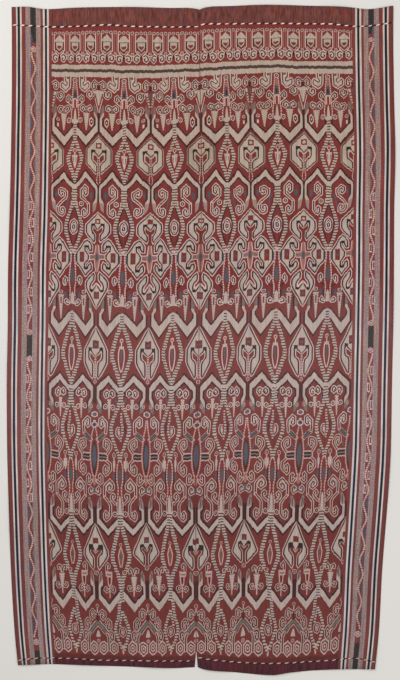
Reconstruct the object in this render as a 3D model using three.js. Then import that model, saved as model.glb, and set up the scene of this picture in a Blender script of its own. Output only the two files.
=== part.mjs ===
// A ceremonial cotton cloth in warp ikat, laid face up on a flat surface. It is woven as two long
// panels that are sewn edge to edge, and each panel has a row of weft twining near each end.
// Millimetres: +X across the cloth, +Y along the warp towards the head end, +Z up.
// The origin is on the surface, under the middle of the cloth.

import * as THREE from "three";

// Driving dimensions
const CLOTH_THICK = 1.2;
const SELVEDGE_GAP = 0.4;
const STITCHES_END_Y = -1054;
const FOOT_CORNER_Y = -1112;
const FOOT_OPENING = 10;
const FLOAT_LENGTH = 13.4;
const FLOAT_WIDTH = 4.2;
const FLOAT_HEIGHT = 2.0;
const CROSSING_WIDTH = 2.8;
const CROSSING_HEIGHT = 0.9;
const TWINE_CLEARANCE = 0.3;
const TWINE_MARGIN = 2.5;

// Section of a row of twining, in shares of its width and height
const TWINE_SECTION = [
  { side: -0.5, up: 0 },
  { side: 0.5, up: 0 },
  { side: 0.38, up: 0.75 },
  { side: 0, up: 1 },
  { side: -0.38, up: 0.75 },
];

// Cells of a panel's grid: across it, and along it in its plain head end, its body and its plain foot
const CELLS_ACROSS = 14;
const CELLS_ALONG = [2, 42, 1];

// The selvedges from head to foot. The cloth narrows towards its foot, and its seam leans a little
const LEFT_SELVEDGE = [
  { y: 1132, x: -644 },
  { y: 1054, x: -643 },
  { y: 850, x: -643 },
  { y: 646, x: -646 },
  { y: 442, x: -650 },
  { y: 238, x: -656 },
  { y: 34, x: -657 },
  { y: -170, x: -660 },
  { y: -374, x: -659 },
  { y: -578, x: -653 },
  { y: -782, x: -646 },
  { y: -986, x: -634 },
  { y: -1105, x: -622 },
];
const SEAM = [
  { y: 1122, x: -5 },
  { y: 918, x: -4 },
  { y: 714, x: 0 },
  { y: 476, x: 1 },
  { y: 238, x: -2 },
  { y: 0, x: -7 },
  { y: -204, x: -11 },
  { y: -374, x: -16 },
  { y: -544, x: -19 },
  { y: -748, x: -17 },
  { y: FOOT_CORNER_Y, x: -16 },
];
const RIGHT_SELVEDGE = [
  { y: 1136, x: 653 },
  { y: 1054, x: 653 },
  { y: 850, x: 656 },
  { y: 646, x: 660 },
  { y: 442, x: 657 },
  { y: 238, x: 656 },
  { y: 34, x: 653 },
  { y: -170, x: 649 },
  { y: -374, x: 645 },
  { y: -578, x: 632 },
  { y: -782, x: 616 },
  { y: -986, x: 605 },
  { y: -1119, x: 591 },
];

// Four weft lines of each panel, from its head edge to its foot edge. Share runs from 0 at the
// panel's left selvedge to 1 at its right one
const LEFT_WEFTS = {
  headEdge: [
    { share: 0, y: 1132 },
    { share: 0.09, y: 1132 },
    { share: 0.17, y: 1125 },
    { share: 0.34, y: 1129 },
    { share: 0.55, y: 1132 },
    { share: 0.8, y: 1129 },
    { share: 0.95, y: 1128 },
    { share: 1, y: 1122 },
  ],
  headTwining: [
    { share: 0, y: 1071 },
    { share: 0.22, y: 1064 },
    { share: 0.4, y: 1067 },
    { share: 0.52, y: 1071 },
    { share: 0.66, y: 1065 },
    { share: 1, y: 1064 },
  ],
  footTwining: [
    { share: 0, y: -1088 },
    { share: 0.12, y: -1081 },
    { share: 0.35, y: -1083 },
    { share: 0.5, y: -1088 },
    { share: 1, y: -1091 },
  ],
  footEdge: [
    { share: 0, y: -1105 },
    { share: 0.18, y: -1102 },
    { share: 0.38, y: -1105 },
    { share: 0.62, y: -1110 },
    { share: 0.89, y: -1115 },
    { share: 1, y: FOOT_CORNER_Y },
  ],
};
const RIGHT_WEFTS = {
  headEdge: [
    { share: 0, y: 1122 },
    { share: 0.05, y: 1132 },
    { share: 0.19, y: 1136 },
    { share: 0.34, y: 1139 },
    { share: 0.58, y: 1136 },
    { share: 0.75, y: 1132 },
    { share: 0.88, y: 1125 },
    { share: 1, y: 1136 },
  ],
  headTwining: [
    { share: 0, y: 1070 },
    { share: 0.06, y: 1074 },
    { share: 0.66, y: 1074 },
    { share: 0.8, y: 1066 },
    { share: 0.9, y: 1069 },
    { share: 1, y: 1079 },
  ],
  footTwining: [
    { share: 0, y: -1078 },
    { share: 0.1, y: -1087 },
    { share: 0.29, y: -1097 },
    { share: 0.46, y: -1098 },
    { share: 0.75, y: -1088 },
    { share: 0.88, y: -1081 },
    { share: 1, y: -1095 },
  ],
  footEdge: [
    { share: 0, y: FOOT_CORNER_Y },
    { share: 0.05, y: -1121 },
    { share: 0.21, y: -1129 },
    { share: 0.42, y: -1139 },
    { share: 0.52, y: -1130 },
    { share: 0.75, y: -1120 },
    { share: 1, y: -1119 },
  ],
};

// Soft ripples where the cloth does not lie quite down: middle, half sizes and height
const RIPPLES = [
  { x: -575, y: 1125, across: 70, along: 170, high: 4 },
  { x: -420, y: 1140, across: 95, along: 150, high: 3 },
  { x: -205, y: 1130, across: 110, along: 190, high: 4.5 },
  { x: -4, y: 1135, across: 80, along: 160, high: 5 },
  { x: 240, y: 1145, across: 140, along: 150, high: 3.5 },
  { x: 470, y: 1130, across: 95, along: 200, high: 4.5 },
  { x: 635, y: 1140, across: 65, along: 170, high: 3.5 },
  { x: -590, y: -1110, across: 75, along: 170, high: 4 },
  { x: -390, y: -1115, across: 120, along: 140, high: 3 },
  { x: -150, y: -1120, across: 100, along: 170, high: 4 },
  { x: 45, y: -1130, across: 80, along: 150, high: 5 },
  { x: 270, y: -1140, across: 110, along: 180, high: 4 },
  { x: 460, y: -1120, across: 100, along: 150, high: 3 },
  { x: 580, y: -1110, across: 65, along: 160, high: 4 },
  { x: -655, y: 420, across: 70, along: 160, high: 3 },
  { x: -660, y: -80, across: 65, along: 190, high: 2.5 },
  { x: -650, y: -600, across: 70, along: 150, high: 3 },
  { x: 660, y: 620, across: 70, along: 170, high: 3 },
  { x: 655, y: 100, across: 65, along: 160, high: 2.5 },
  { x: 640, y: -460, across: 70, along: 180, high: 3 },
];

const cotton = (colour) =>
  new THREE.MeshStandardMaterial({ color: colour, roughness: 0.95, metalness: 0 });
const IKAT_RED = cotton("#7e4a45");
const TWINING_YARN = cotton("#b9a79a");

// Reads a table at any place between its rows, on a smooth curve through them
function smoothRead(rows, key, value, at) {
  const direction = Math.sign(rows[rows.length - 1][key] - rows[0][key]);
  let next = rows.findIndex((row) => (row[key] - at) * direction > 0);
  if (next === -1) next = rows.length - 1;
  if (next === 0) return rows[0][value];
  const low = rows[next - 1];
  const high = rows[next];
  const before = rows[next - 2] ?? low;
  const after = rows[next + 1] ?? high;
  const span = high[key] - low[key];
  const t = THREE.MathUtils.clamp((at - low[key]) / span, 0, 1);
  const slopeLow = ((high[value] - before[value]) / (high[key] - before[key])) * span;
  const slopeHigh = ((after[value] - low[value]) / (after[key] - low[key])) * span;
  const bend = (1 - t) * slopeLow - t * slopeHigh - (1 - 2 * t) * (high[value] - low[value]);
  return low[value] + t * (high[value] - low[value]) + t * (1 - t) * bend;
}

// Half the gap between the two selvedges at the seam. It widens below the last stitch
function seamHalfGap(y) {
  const open = THREE.MathUtils.clamp((STITCHES_END_Y - y) / (STITCHES_END_Y - FOOT_CORNER_Y), 0, 1);
  return SELVEDGE_GAP / 2 + (open * FOOT_OPENING) / 2;
}

function lift(x, y) {
  let height = 0;
  for (const ripple of RIPPLES) {
    const away = ((x - ripple.x) / ripple.across) ** 2 + ((y - ripple.y) / ripple.along) ** 2;
    if (away < 1) height = Math.max(height, ripple.high * (1 - away) ** 2);
  }
  return height;
}

const PANELS = {
  left: {
    wefts: LEFT_WEFTS,
    leftEdge: (y) => smoothRead(LEFT_SELVEDGE, "y", "x", y),
    rightEdge: (y) => smoothRead(SEAM, "y", "x", y) - seamHalfGap(y),
  },
  right: {
    wefts: RIGHT_WEFTS,
    leftEdge: (y) => smoothRead(SEAM, "y", "x", y) + seamHalfGap(y),
    rightEdge: (y) => smoothRead(RIGHT_SELVEDGE, "y", "x", y),
  },
};

// One weft line of the grid, blended between two of the panel's weft tables
function weftRow(panel, above, below, blend) {
  const lineY = (share) =>
    THREE.MathUtils.lerp(
      smoothRead(above, "share", "y", share),
      smoothRead(below, "share", "y", share),
      blend,
    );
  const leftX = panel.leftEdge(lineY(0));
  const rightX = panel.rightEdge(lineY(1));
  return Array.from({ length: CELLS_ACROSS + 1 }, (_, column) => {
    const share = column / CELLS_ACROSS;
    const x = THREE.MathUtils.lerp(leftX, rightX, share);
    const y = lineY(share);
    return new THREE.Vector3(x, y, lift(x, y));
  });
}

// The underside's grid of points, row by row from the head edge to the foot edge
function panelRows(panel) {
  const lines = Object.values(panel.wefts);
  const rows = [];
  CELLS_ALONG.forEach((cells, part) => {
    for (let cell = 0; cell < cells; cell += 1) {
      rows.push(weftRow(panel, lines[part], lines[part + 1], cell / cells));
    }
  });
  rows.push(weftRow(panel, lines[2], lines[3], 1));
  return rows;
}

function closedGeometry(points, triangles) {
  const geometry = new THREE.BufferGeometry();
  const places = points.flatMap((point) => [point.x, point.y, point.z]);
  geometry.setAttribute("position", new THREE.Float32BufferAttribute(places, 3));
  geometry.setIndex(triangles);
  geometry.computeVertexNormals();
  return geometry;
}

// A closed sheet: the rows of points as its underside, the same points a thickness higher as its
// face, and a rim all the way round
function sheetGeometry(rows) {
  const columns = rows[0].length;
  const under = rows.flat();
  const face = under.map((point) => new THREE.Vector3(point.x, point.y, point.z + CLOTH_THICK));
  const triangles = [];
  for (let row = 0; row < rows.length - 1; row += 1) {
    for (let column = 0; column < columns - 1; column += 1) {
      const a = row * columns + column;
      const b = a + 1;
      const c = a + columns;
      const d = c + 1;
      triangles.push(a, b, d, a, d, c);
      const [fa, fb, fc, fd] = [a, b, c, d].map((corner) => corner + under.length);
      triangles.push(fa, fd, fb, fa, fc, fd);
    }
  }
  const rim = [];
  for (let column = 0; column < columns - 1; column += 1) rim.push(column);
  for (let row = 0; row < rows.length - 1; row += 1) rim.push(row * columns + columns - 1);
  for (let column = columns - 1; column > 0; column -= 1) rim.push((rows.length - 1) * columns + column);
  for (let row = rows.length - 1; row > 0; row -= 1) rim.push(row * columns);
  rim.forEach((low, place) => {
    const next = rim[(place + 1) % rim.length];
    triangles.push(low, low + under.length, next + under.length, low, next + under.length, next);
  });
  return closedGeometry([...under, ...face], triangles);
}

// A closed strip through sections that follow one another
function stripGeometry(sections) {
  const sides = sections[0].length;
  const triangles = [];
  for (let section = 0; section < sections.length - 1; section += 1) {
    for (let side = 0; side < sides; side += 1) {
      const a = section * sides + side;
      const b = section * sides + ((side + 1) % sides);
      triangles.push(a, b, b + sides, a, b + sides, a + sides);
    }
  }
  const last = (sections.length - 1) * sides;
  for (let side = 1; side < sides - 1; side += 1) {
    triangles.push(0, side + 1, side, last, last + side, last + side + 1);
  }
  return closedGeometry(sections.flat(), triangles);
}

// A row of twining lies on the face along one weft line: floats of two yarns in turn, each one
// swelling between the places where the yarns cross
function twinedGeometry(row) {
  const start = row[0];
  const end = row[row.length - 1];
  const length = end.x - start.x - 2 * TWINE_MARGIN;
  const floats = Math.round(length / FLOAT_LENGTH);
  const sections = [];
  for (let half = 0; half <= floats * 2; half += 1) {
    const x = start.x + TWINE_MARGIN + (length * half) / (floats * 2);
    const next = row.findIndex((point, column) => column > 0 && point.x >= x);
    const along = (x - row[next - 1].x) / (row[next].x - row[next - 1].x);
    const middle = new THREE.Vector3().lerpVectors(row[next - 1], row[next], along);
    const crossing = half % 2 === 0;
    const width = crossing ? CROSSING_WIDTH : FLOAT_WIDTH;
    const height = crossing ? CROSSING_HEIGHT : FLOAT_HEIGHT;
    const base = middle.z + CLOTH_THICK + TWINE_CLEARANCE;
    sections.push(
      TWINE_SECTION.map(
        ({ side, up }) => new THREE.Vector3(x, middle.y + side * width, base + up * height),
      ),
    );
  }
  return stripGeometry(sections);
}

function addMesh(group, name, geometry, material) {
  const mesh = new THREE.Mesh(geometry, material.clone());
  mesh.name = name;
  group.add(mesh);
}

const group = new THREE.Group();
const [HEAD_CELLS, BODY_CELLS] = CELLS_ALONG;
for (const [side, panel] of Object.entries(PANELS)) {
  const rows = panelRows(panel);
  const headRow = rows[HEAD_CELLS];
  const footRow = rows[HEAD_CELLS + BODY_CELLS];
  addMesh(group, `panel_${side}`, sheetGeometry(rows), IKAT_RED);
  addMesh(group, `twine_top_${side}`, twinedGeometry(headRow), TWINING_YARN);
  addMesh(group, `twine_bottom_${side}`, twinedGeometry(footRow), TWINING_YARN);
}

export default group;
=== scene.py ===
import math

import bpy
import numpy as np
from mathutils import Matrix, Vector
from mathutils.geometry import delaunay_2d_cdt


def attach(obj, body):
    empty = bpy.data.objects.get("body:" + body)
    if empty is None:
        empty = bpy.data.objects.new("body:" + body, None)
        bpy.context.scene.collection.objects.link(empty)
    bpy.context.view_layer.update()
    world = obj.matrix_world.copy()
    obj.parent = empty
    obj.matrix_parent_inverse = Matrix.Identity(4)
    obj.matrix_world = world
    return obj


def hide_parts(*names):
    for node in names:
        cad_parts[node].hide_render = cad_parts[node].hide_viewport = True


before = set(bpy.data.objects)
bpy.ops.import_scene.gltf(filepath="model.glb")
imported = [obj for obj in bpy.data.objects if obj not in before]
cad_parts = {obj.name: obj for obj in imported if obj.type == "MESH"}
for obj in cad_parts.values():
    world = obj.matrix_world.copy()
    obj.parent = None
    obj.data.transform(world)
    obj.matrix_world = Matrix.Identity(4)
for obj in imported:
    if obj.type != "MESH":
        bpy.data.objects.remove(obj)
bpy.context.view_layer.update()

# A warp ikat cloth of two sewn panels, laid face up. Sizes and tables are in millimetres, or in
# bundles of warp that the weaver tied and dyed together. Blender is given metres
MM = 0.001
BUNDLE = 3.4
PHOTO_SIZE = (400, 680)
PHOTO_ORIGIN = (201, 340)
CLOTH_THICK = 1.2
SELVEDGE_GAP = 0.4
TWINING_CLEARANCE = 0.3
TWINING_MARGIN = 2.5
FLOAT_PITCH = 13.4
FLOAT_LENGTH = 15
FLOAT_WIDTH = 4.4
FLOAT_HEIGHT = 2.0
FOOT_FLOAT_WIDTH = 3.4
STITCH_PITCH = 9
STITCH_WIDTH = 5
SEAM_THREAD = 0.8
STITCH_LIFT = 0.2
FIRST_STITCH_GAP = 6
UNEVEN_SIZE = (0.88, 1.1)
STITCHES_END_Y = -1054
FOOT_CORNER_Y = -1112
FOOT_OPENING = 10

# Outline of the cloth, the same as the solids': selvedges by height, weft lines by share across
LEFT_SELVEDGE = (
    (1132, -644), (1054, -643), (850, -643), (646, -646), (442, -650), (238, -656), (34, -657),
    (-170, -660), (-374, -659), (-578, -653), (-782, -646), (-986, -634), (-1105, -622),
)
SEAM = (
    (1122, -5), (918, -4), (714, 0), (476, 1), (238, -2), (0, -7), (-204, -11), (-374, -16),
    (-544, -19), (-748, -17), (FOOT_CORNER_Y, -16),
)
RIGHT_SELVEDGE = (
    (1136, 653), (1054, 653), (850, 656), (646, 660), (442, 657), (238, 656), (34, 653),
    (-170, 649), (-374, 645), (-578, 632), (-782, 616), (-986, 605), (-1119, 591),
)
LEFT_WEFTS = {
    "head edge": ((0, 1132), (0.09, 1132), (0.17, 1125), (0.34, 1129), (0.55, 1132), (0.8, 1129),
                  (0.95, 1128), (1, 1122)),
    "head twining": ((0, 1071), (0.22, 1064), (0.4, 1067), (0.52, 1071), (0.66, 1065), (1, 1064)),
    "foot twining": ((0, -1088), (0.12, -1081), (0.35, -1083), (0.5, -1088), (1, -1091)),
    "foot edge": ((0, -1105), (0.18, -1102), (0.38, -1105), (0.62, -1110), (0.89, -1115),
                  (1, FOOT_CORNER_Y)),
}
RIGHT_WEFTS = {
    "head edge": ((0, 1122), (0.05, 1132), (0.19, 1136), (0.34, 1139), (0.58, 1136), (0.75, 1132),
                  (0.88, 1125), (1, 1136)),
    "head twining": ((0, 1070), (0.06, 1074), (0.66, 1074), (0.8, 1066), (0.9, 1069), (1, 1079)),
    "foot twining": ((0, -1078), (0.1, -1087), (0.29, -1097), (0.46, -1098), (0.75, -1088),
                     (0.88, -1081), (1, -1095)),
    "foot edge": ((0, FOOT_CORNER_Y), (0.05, -1121), (0.21, -1129), (0.42, -1139), (0.52, -1130),
                  (0.75, -1120), (1, -1119)),
}
# Soft ripples: x, y, half size across, half size along, height
RIPPLES = (
    (-575, 1125, 70, 170, 4), (-420, 1140, 95, 150, 3), (-205, 1130, 110, 190, 4.5),
    (-4, 1135, 80, 160, 5), (240, 1145, 140, 150, 3.5), (470, 1130, 95, 200, 4.5),
    (635, 1140, 65, 170, 3.5), (-590, -1110, 75, 170, 4), (-390, -1115, 120, 140, 3),
    (-150, -1120, 100, 170, 4), (45, -1130, 80, 150, 5), (270, -1140, 110, 180, 4),
    (460, -1120, 100, 150, 3), (580, -1110, 65, 160, 4), (-655, 420, 70, 160, 3),
    (-660, -80, 65, 190, 2.5), (-650, -600, 70, 150, 3), (660, 620, 70, 170, 3),
    (655, 100, 65, 160, 2.5), (640, -460, 70, 180, 3),
)

# The pattern's own plane: bundles across from the outer selvedge, and rows down the cloth. A row
# is as long as a bundle is wide, which is also a pixel of the photo. Row 0 is at the photo's top
# edge, and the head edge and what follows lie about as many rows down as they do in the photo
BORDER_BUNDLES = 40
HALF_REPEAT = 25
HALF_REPEATS = 6
PANEL_BUNDLES = BORDER_BUNDLES + HALF_REPEATS * HALF_REPEAT + 1
# The edge of the field, the axes about which its figures are mirrored and the end of the field
AXES = tuple(range(BORDER_BUNDLES, PANEL_BUNDLES, HALF_REPEAT))
HEAD_ROW = 8
HEAD_TWINING_ROW = 26.5
FOOT_TWINING_ROW = 660
FOOT_ROW = 668
FOOT_RED_ROW = 655.5
TWINING_HALF = 0.8
# Pale lines below this row have browned
FOOT_LINE_ROW = 430

# How wide each panel came out between its outer selvedge, the two navy stripes, the axes and the
# seam. Only the shares count, as a panel's width changes along it
LANE_BUNDLES = (0, 7.65, 34.4, *AXES, PANEL_BUNDLES)
LEFT_WIDTHS = (24, 93, 19, 80, 80, 87, 90, 80, 89, 0.7)
RIGHT_WIDTHS = (25, 93, 20, 85, 84, 89, 91, 79, 87, 0.7)
# How far the rows sink below their own height, in bundles, at the outer selvedge and at each of
# the axes. The first line is for the head and the second for the foot
SINK_ROWS = (48, 630)
LEFT_SINK = ((-1.5, -1, -1, -1, 0, 0, -1, -2), (-5, -6, -3.5, -0.5, 0.5, -0.5, -0.5, 0.5))
RIGHT_SINK = ((-4.5, -4.5, -4.5, -5, -5.5, -5, -3.5, -2), (-5, -6.5, -4, -1.5, -2, -3, -1, 0.5))
# The first inner crest of the zigzag in each border. It repeats down the cloth
LEFT_CREST_ROW = 68.5
RIGHT_CREST_ROW = 61.5
# Rows after the crest where the border's zigzag turns back from its inner side. The turns lie
# wider apart in the middle of the cloth
ZIGZAG_TURNS = (*range(-28, 144, 28), *range(174, 421, 35), *range(448, 600, 28))
# The zigzag's stripe: its two sides, how far its thread swings, half the thread's width, the
# length of the pieces it is drawn in, and the turns between which the hollows hold small boxes.
# The other hollows hold lenses
ZIGZAG_SIDES = (19.2, 24.6)
ZIGZAG_SWING = 1.9
THREAD_HALF = 0.8
THREAD_STEP = 2
BOXES_FROM = 130
BOXES_TO = 430
# Rows after the crest where the dark head block ends, the middle one begins and ends, and the
# foot one begins
BLOCK_ROWS = (-25, 270, 291, 585)
OUTER_LENS = ((0, -8), (1.6, -4), (2.1, 0), (1.6, 4), (0, 8))
INNER_LENS = ((0, -7), (1.4, -3), (1.8, 0), (1.4, 3), (0, 7))
# Stripes of a border from the outer selvedge inwards, with their widths
STRIPES = (
    ("border red", 4.8), ("bright cream", 1.6), ("navy", 2.5), ("bright cream", 1.6),
    ("border red", 3.8), ("beige", 4.9), ("border red", 5.4), ("beige", 4.6),
    ("border red", 2.3), ("bright cream", 1.8), ("navy", 2.2), ("bright cream", 1.8),
    ("border red", 2.7),
)
STRIPE_STEP = 10

# Lines and small figures, in bundles. A thin dark line is browner where it slants, which is where
# it crosses this much or more for each row, and a sharp corner isn't drawn out to its full point
THIN_LINE = 1.5
SLANTED = 0.3
SHARPEST_CORNER = 0.3
LEAST_MITRE = 0.6
PIPE_WIDTH = 2.9
PIPE_CORE = 1.2
BLOB_RIM = 3.1
BLOB_CORE = 1.35
BEAD_PITCH = 2.5
BEAD_SHARE = 0.66
STEP_PITCH = 2.6
LADDER_PITCH = 2.7
LADDER_BAR = LADDER_PITCH * 0.6
# A hexagon inside another: how large each is, and the dyes of a nest
RING_SIZES = (1, 0.66, 0.25)
NEST = (("line", 1), ("indigo", 0.76), ("line", 0.58), ("red", 0.36), ("line", 0.18))
BORDER_MARK = (("line", 1), ("border red", 0.72), ("line", 0.5), ("border red", 0.2))
# Bars of a ladder and the dark spots under them differ in turn, as hand-tied ones do. Shares of
# the ladder's width: sideways, half a spot, half a bar
LADDER_SIDES = (-0.07, 0.0, 0.08)
LADDER_SPOTS = (0.32, 0.22, 0.28, 0.2)
LADDER_REACHES = (0.5, 0.44, 0.53, 0.47, 0.42)

# How the pattern plane is cut into triangles, in bundles: the cells of its plain grid, how near
# two places become one at first and along the outlines that show, and how near its line a corner
# lies, as dyed and as slipped, to be left out of a straight stretch of at most this length. Then
# how far beside its middle a triangle's dye is read, and the most rounds of undoing folds
GRID_BUNDLES = 6
FIRST_MERGE = 0.001
SHOWN_MERGE = 0.1
STRAIGHT_LENGTH = 4
DYED_SLACK = 0.1
SLIPPED_SLACK = 0.14
BESIDE_AXIS = 0.01
UNFOLD_ROUNDS = 20
# An edge of a shape gets teeth, one a bundle, where it crosses at least this much for each row,
# but none this near its ends
CROSSWISE = 0.7
TOOTH_MARGIN = 0.2
# Slips of the bundles along the warp: cells in bundles and in rows, the spread in rows, and what
# is added to the seed. Single bundles slip, and so do groups of them, but not at the two ends
SLIPS = ((1, 9, 0.33, 0), (8, 60, 0.4, 50))
HEAD_STILL_ROWS = 12
FOOT_STILL_ROWS = 8

# Rows, with how light the dyed and the pale parts are there. The foot is darkest. A part is as
# light as its dye where its number times the gain is 1
TONE_GAIN = 1.2
TONE_ALONG = (
    (0, 0.83, 0.82), (85, 0.76, 0.8), (200, 0.79, 0.85), (390, 0.79, 0.89), (480, 0.75, 0.86),
    (510, 0.64, 0.82), (670, 0.66, 0.78),
)
# Soiled spots: their middle, their reach and how strong they are
SOIL_SPOTS = ((-347, 629, 60, 0.35), (-3, 629, 80, 0.6), (0, 280, 70, 0.4), (-30, -280, 60, 0.4))

# Dyes as they look today, in sRGB
DYES = {
    "red": "74312D", "deep red": "6A2C2B", "cream": "AC998A", "line": "BEA195", "bright cream": "C4B6A9",
    "navy": "10192B", "indigo": "2F211F", "umber": "4A3B34", "slate": "50525C", "shade": "3B2124",
    "grey": "726660", "pink": "96695F", "beige": "937B74", "border red": "773A36",
    "border dark": "302C2B", "head end": "653C35", "foot end": "501C26", "foot red": "5F2824",
    "foot line": "B49083",
}
MOST_SOILED = (0.74, 0.68, 0.6)
YARN_PITCH = 1.1

# Where each look of the cotton begins and where it is full, with its strength at the two. It is
# read across or along the weave in bundles and rows, up the cloth in millimetres, or off the dye
SOFT_EDGE = 0.2
LOOKS = {
    "head end": ("along", HEAD_TWINING_ROW + SOFT_EDGE, HEAD_TWINING_ROW - SOFT_EDGE, 0, 1),
    "foot end": ("along", FOOT_TWINING_ROW - SOFT_EDGE, FOOT_TWINING_ROW + SOFT_EDGE, 0, 1),
    "field": ("across", BORDER_BUNDLES - SOFT_EDGE, BORDER_BUNDLES + SOFT_EDGE, 0, 1),
    "border": ("across", BORDER_BUNDLES - SOFT_EDGE, BORDER_BUNDLES + SOFT_EDGE, 1, 0),
    "past the outer red": ("across", 14.2, 14.4, 0, 1),
    "before the inner red": ("across", 29.2, 29.0, 0, 1),
    "pale": ("green", 0.1, 0.28, 0, 1),
    "below the head": ("up", 650, 300, 0, 1),
    "upper half": ("up", 150, 250, 0, 1),
    "worn below the middle": ("up", 170, 100, 0, 0.045),
    "less worn at the foot": ("up", -500, -200, 0.25, 1),
}
# Looks made of two others
JOINED_LOOKS = (
    ("either end", "head end", "ADD", "foot end"),
    ("plain ends", "either end", "MULTIPLY", "field"),
    ("speckled stripes", "past the outer red", "MULTIPLY", "before the inner red"),
    ("worn", "worn below the middle", "MULTIPLY", "less worn at the foot"),
    ("grey cotton", "below the head", "MULTIPLY", "pale"),
    ("redder dyes", "upper half", "SUBTRACT", "pale"),
)
# Streaks of the dyes: cells in millimetres, darkest, lightest, detail and where. Single bundles,
# groups of them, yarns, picks of weft, then the loosely dyed hanks of the plain ends and of the
# borders, and the specks of the border's ikat stripe and of the beige ones beside it. The yarns
# are too fine for the render, so they count mostly in the relief
STREAKS = (
    ((BUNDLE, 60, 1), 0.84, 1.14, 2, "cloth"),
    ((22, 400, 1), 0.92, 1.08, 2, "cloth"),
    ((YARN_PITCH, 30, 1), 0.94, 1.06, 1, "cloth"),
    ((45, 2.6, 1), 0.95, 1.05, 2, "cloth"),
    ((6.5, 38, 1), 0.5, 1.55, 2, "plain ends"),
    ((3, 140, 1), 0.78, 1.2, 2, "border"),
    ((3, 5, 1), 0.62, 1.4, 1, "speckled stripes"),
)
# Age: cells in millimetres, strength, the noise where it begins and where it is full, detail,
# where, and the tint. Bundles that turned brown or kept a purple cast, clouds of soil, orange and
# violet hanks in the plain ends, and grey ones in the borders
AGEING = (
    ("weave", (9, 120, 1), 0.7, (0.5, 0.72), 2, "cloth", (1.08, 0.98, 0.78)),
    ("weave", (13, 170, 7), 0.6, (0.52, 0.72), 2, "cloth", (0.96, 0.86, 1.02)),
    ("object", (160, 260, 100), 0.5, (0.45, 0.75), 4, "cloth", (0.93, 0.9, 0.84)),
    ("weave", (16, 34, 3), 1, (0.48, 0.66), 2, "plain ends", (1.3, 0.92, 0.7)),
    ("weave", (12, 30, 11), 1, (0.5, 0.66), 2, "plain ends", (0.86, 0.8, 1.25)),
    ("weave", (5, 90, 5), 1, (0.5, 0.7), 2, "border", (0.86, 0.96, 1.12)),
)
# Undyed fibre shows where the cloth is worn, the pale cotton is greyer below the head, and the
# dyed parts of the upper half are redder
CASTS = (
    ("worn", "MIX", (0.5, 0.38, 0.37)),
    ("grey cotton", "MULTIPLY", (0.98, 1.02, 1.14)),
    ("redder dyes", "MULTIPLY", (1.0, 0.88, 0.86)),
)


def linear(hex_colour):
    """A colour of the screen's sRGB scale as the renderer's linear numbers."""
    parts = [int(hex_colour[i:i + 2], 16) / 255 for i in (0, 2, 4)]
    return tuple(c / 12.92 if c <= 0.04045 else ((c + 0.055) / 1.055) ** 2.4 for c in parts)


def add(tree, kind, inputs=None, **settings):
    """Adds a node with its settings, and gives each named input a value or a link."""
    node = tree.nodes.new(kind)
    for name, value in settings.items():
        setattr(node, name, value)
    for name, value in (inputs or {}).items():
        if isinstance(value, bpy.types.NodeSocket):
            tree.links.new(value, node.inputs[name])
        else:
            node.inputs[name].default_value = value
    return node


# Shape of the cloth

def smooth_read(table, at):
    """Reads a table at any places between its rows, on a smooth curve through them."""
    keys, values = np.array(sorted(table), float).T
    slopes = np.empty_like(values)
    slopes[0] = (values[1] - values[0]) / (keys[1] - keys[0])
    slopes[-1] = (values[-1] - values[-2]) / (keys[-1] - keys[-2])
    slopes[1:-1] = (values[2:] - values[:-2]) / (keys[2:] - keys[:-2])
    low = np.clip(np.searchsorted(keys, at) - 1, 0, len(keys) - 2)
    span = keys[low + 1] - keys[low]
    t = np.clip((at - keys[low]) / span, 0, 1)
    rise = values[low + 1] - values[low]
    bend = (1 - t) * slopes[low] * span - t * slopes[low + 1] * span - (1 - 2 * t) * rise
    return values[low] + t * rise + t * (1 - t) * bend


def lift(x, y):
    """Height of the cloth's underside over the surface, in millimetres."""
    height = np.zeros_like(x)
    for middle_x, middle_y, across, along, high in RIPPLES:
        away = ((x - middle_x) / across) ** 2 + ((y - middle_y) / along) ** 2
        height = np.maximum(height, high * np.clip(1 - away, 0, 1) ** 2)
    return height


def seam_half_gap(y):
    opening = np.clip((STITCHES_END_Y - y) / (STITCHES_END_Y - FOOT_CORNER_Y), 0, 1)
    return SELVEDGE_GAP / 2 + opening * FOOT_OPENING / 2


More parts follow.
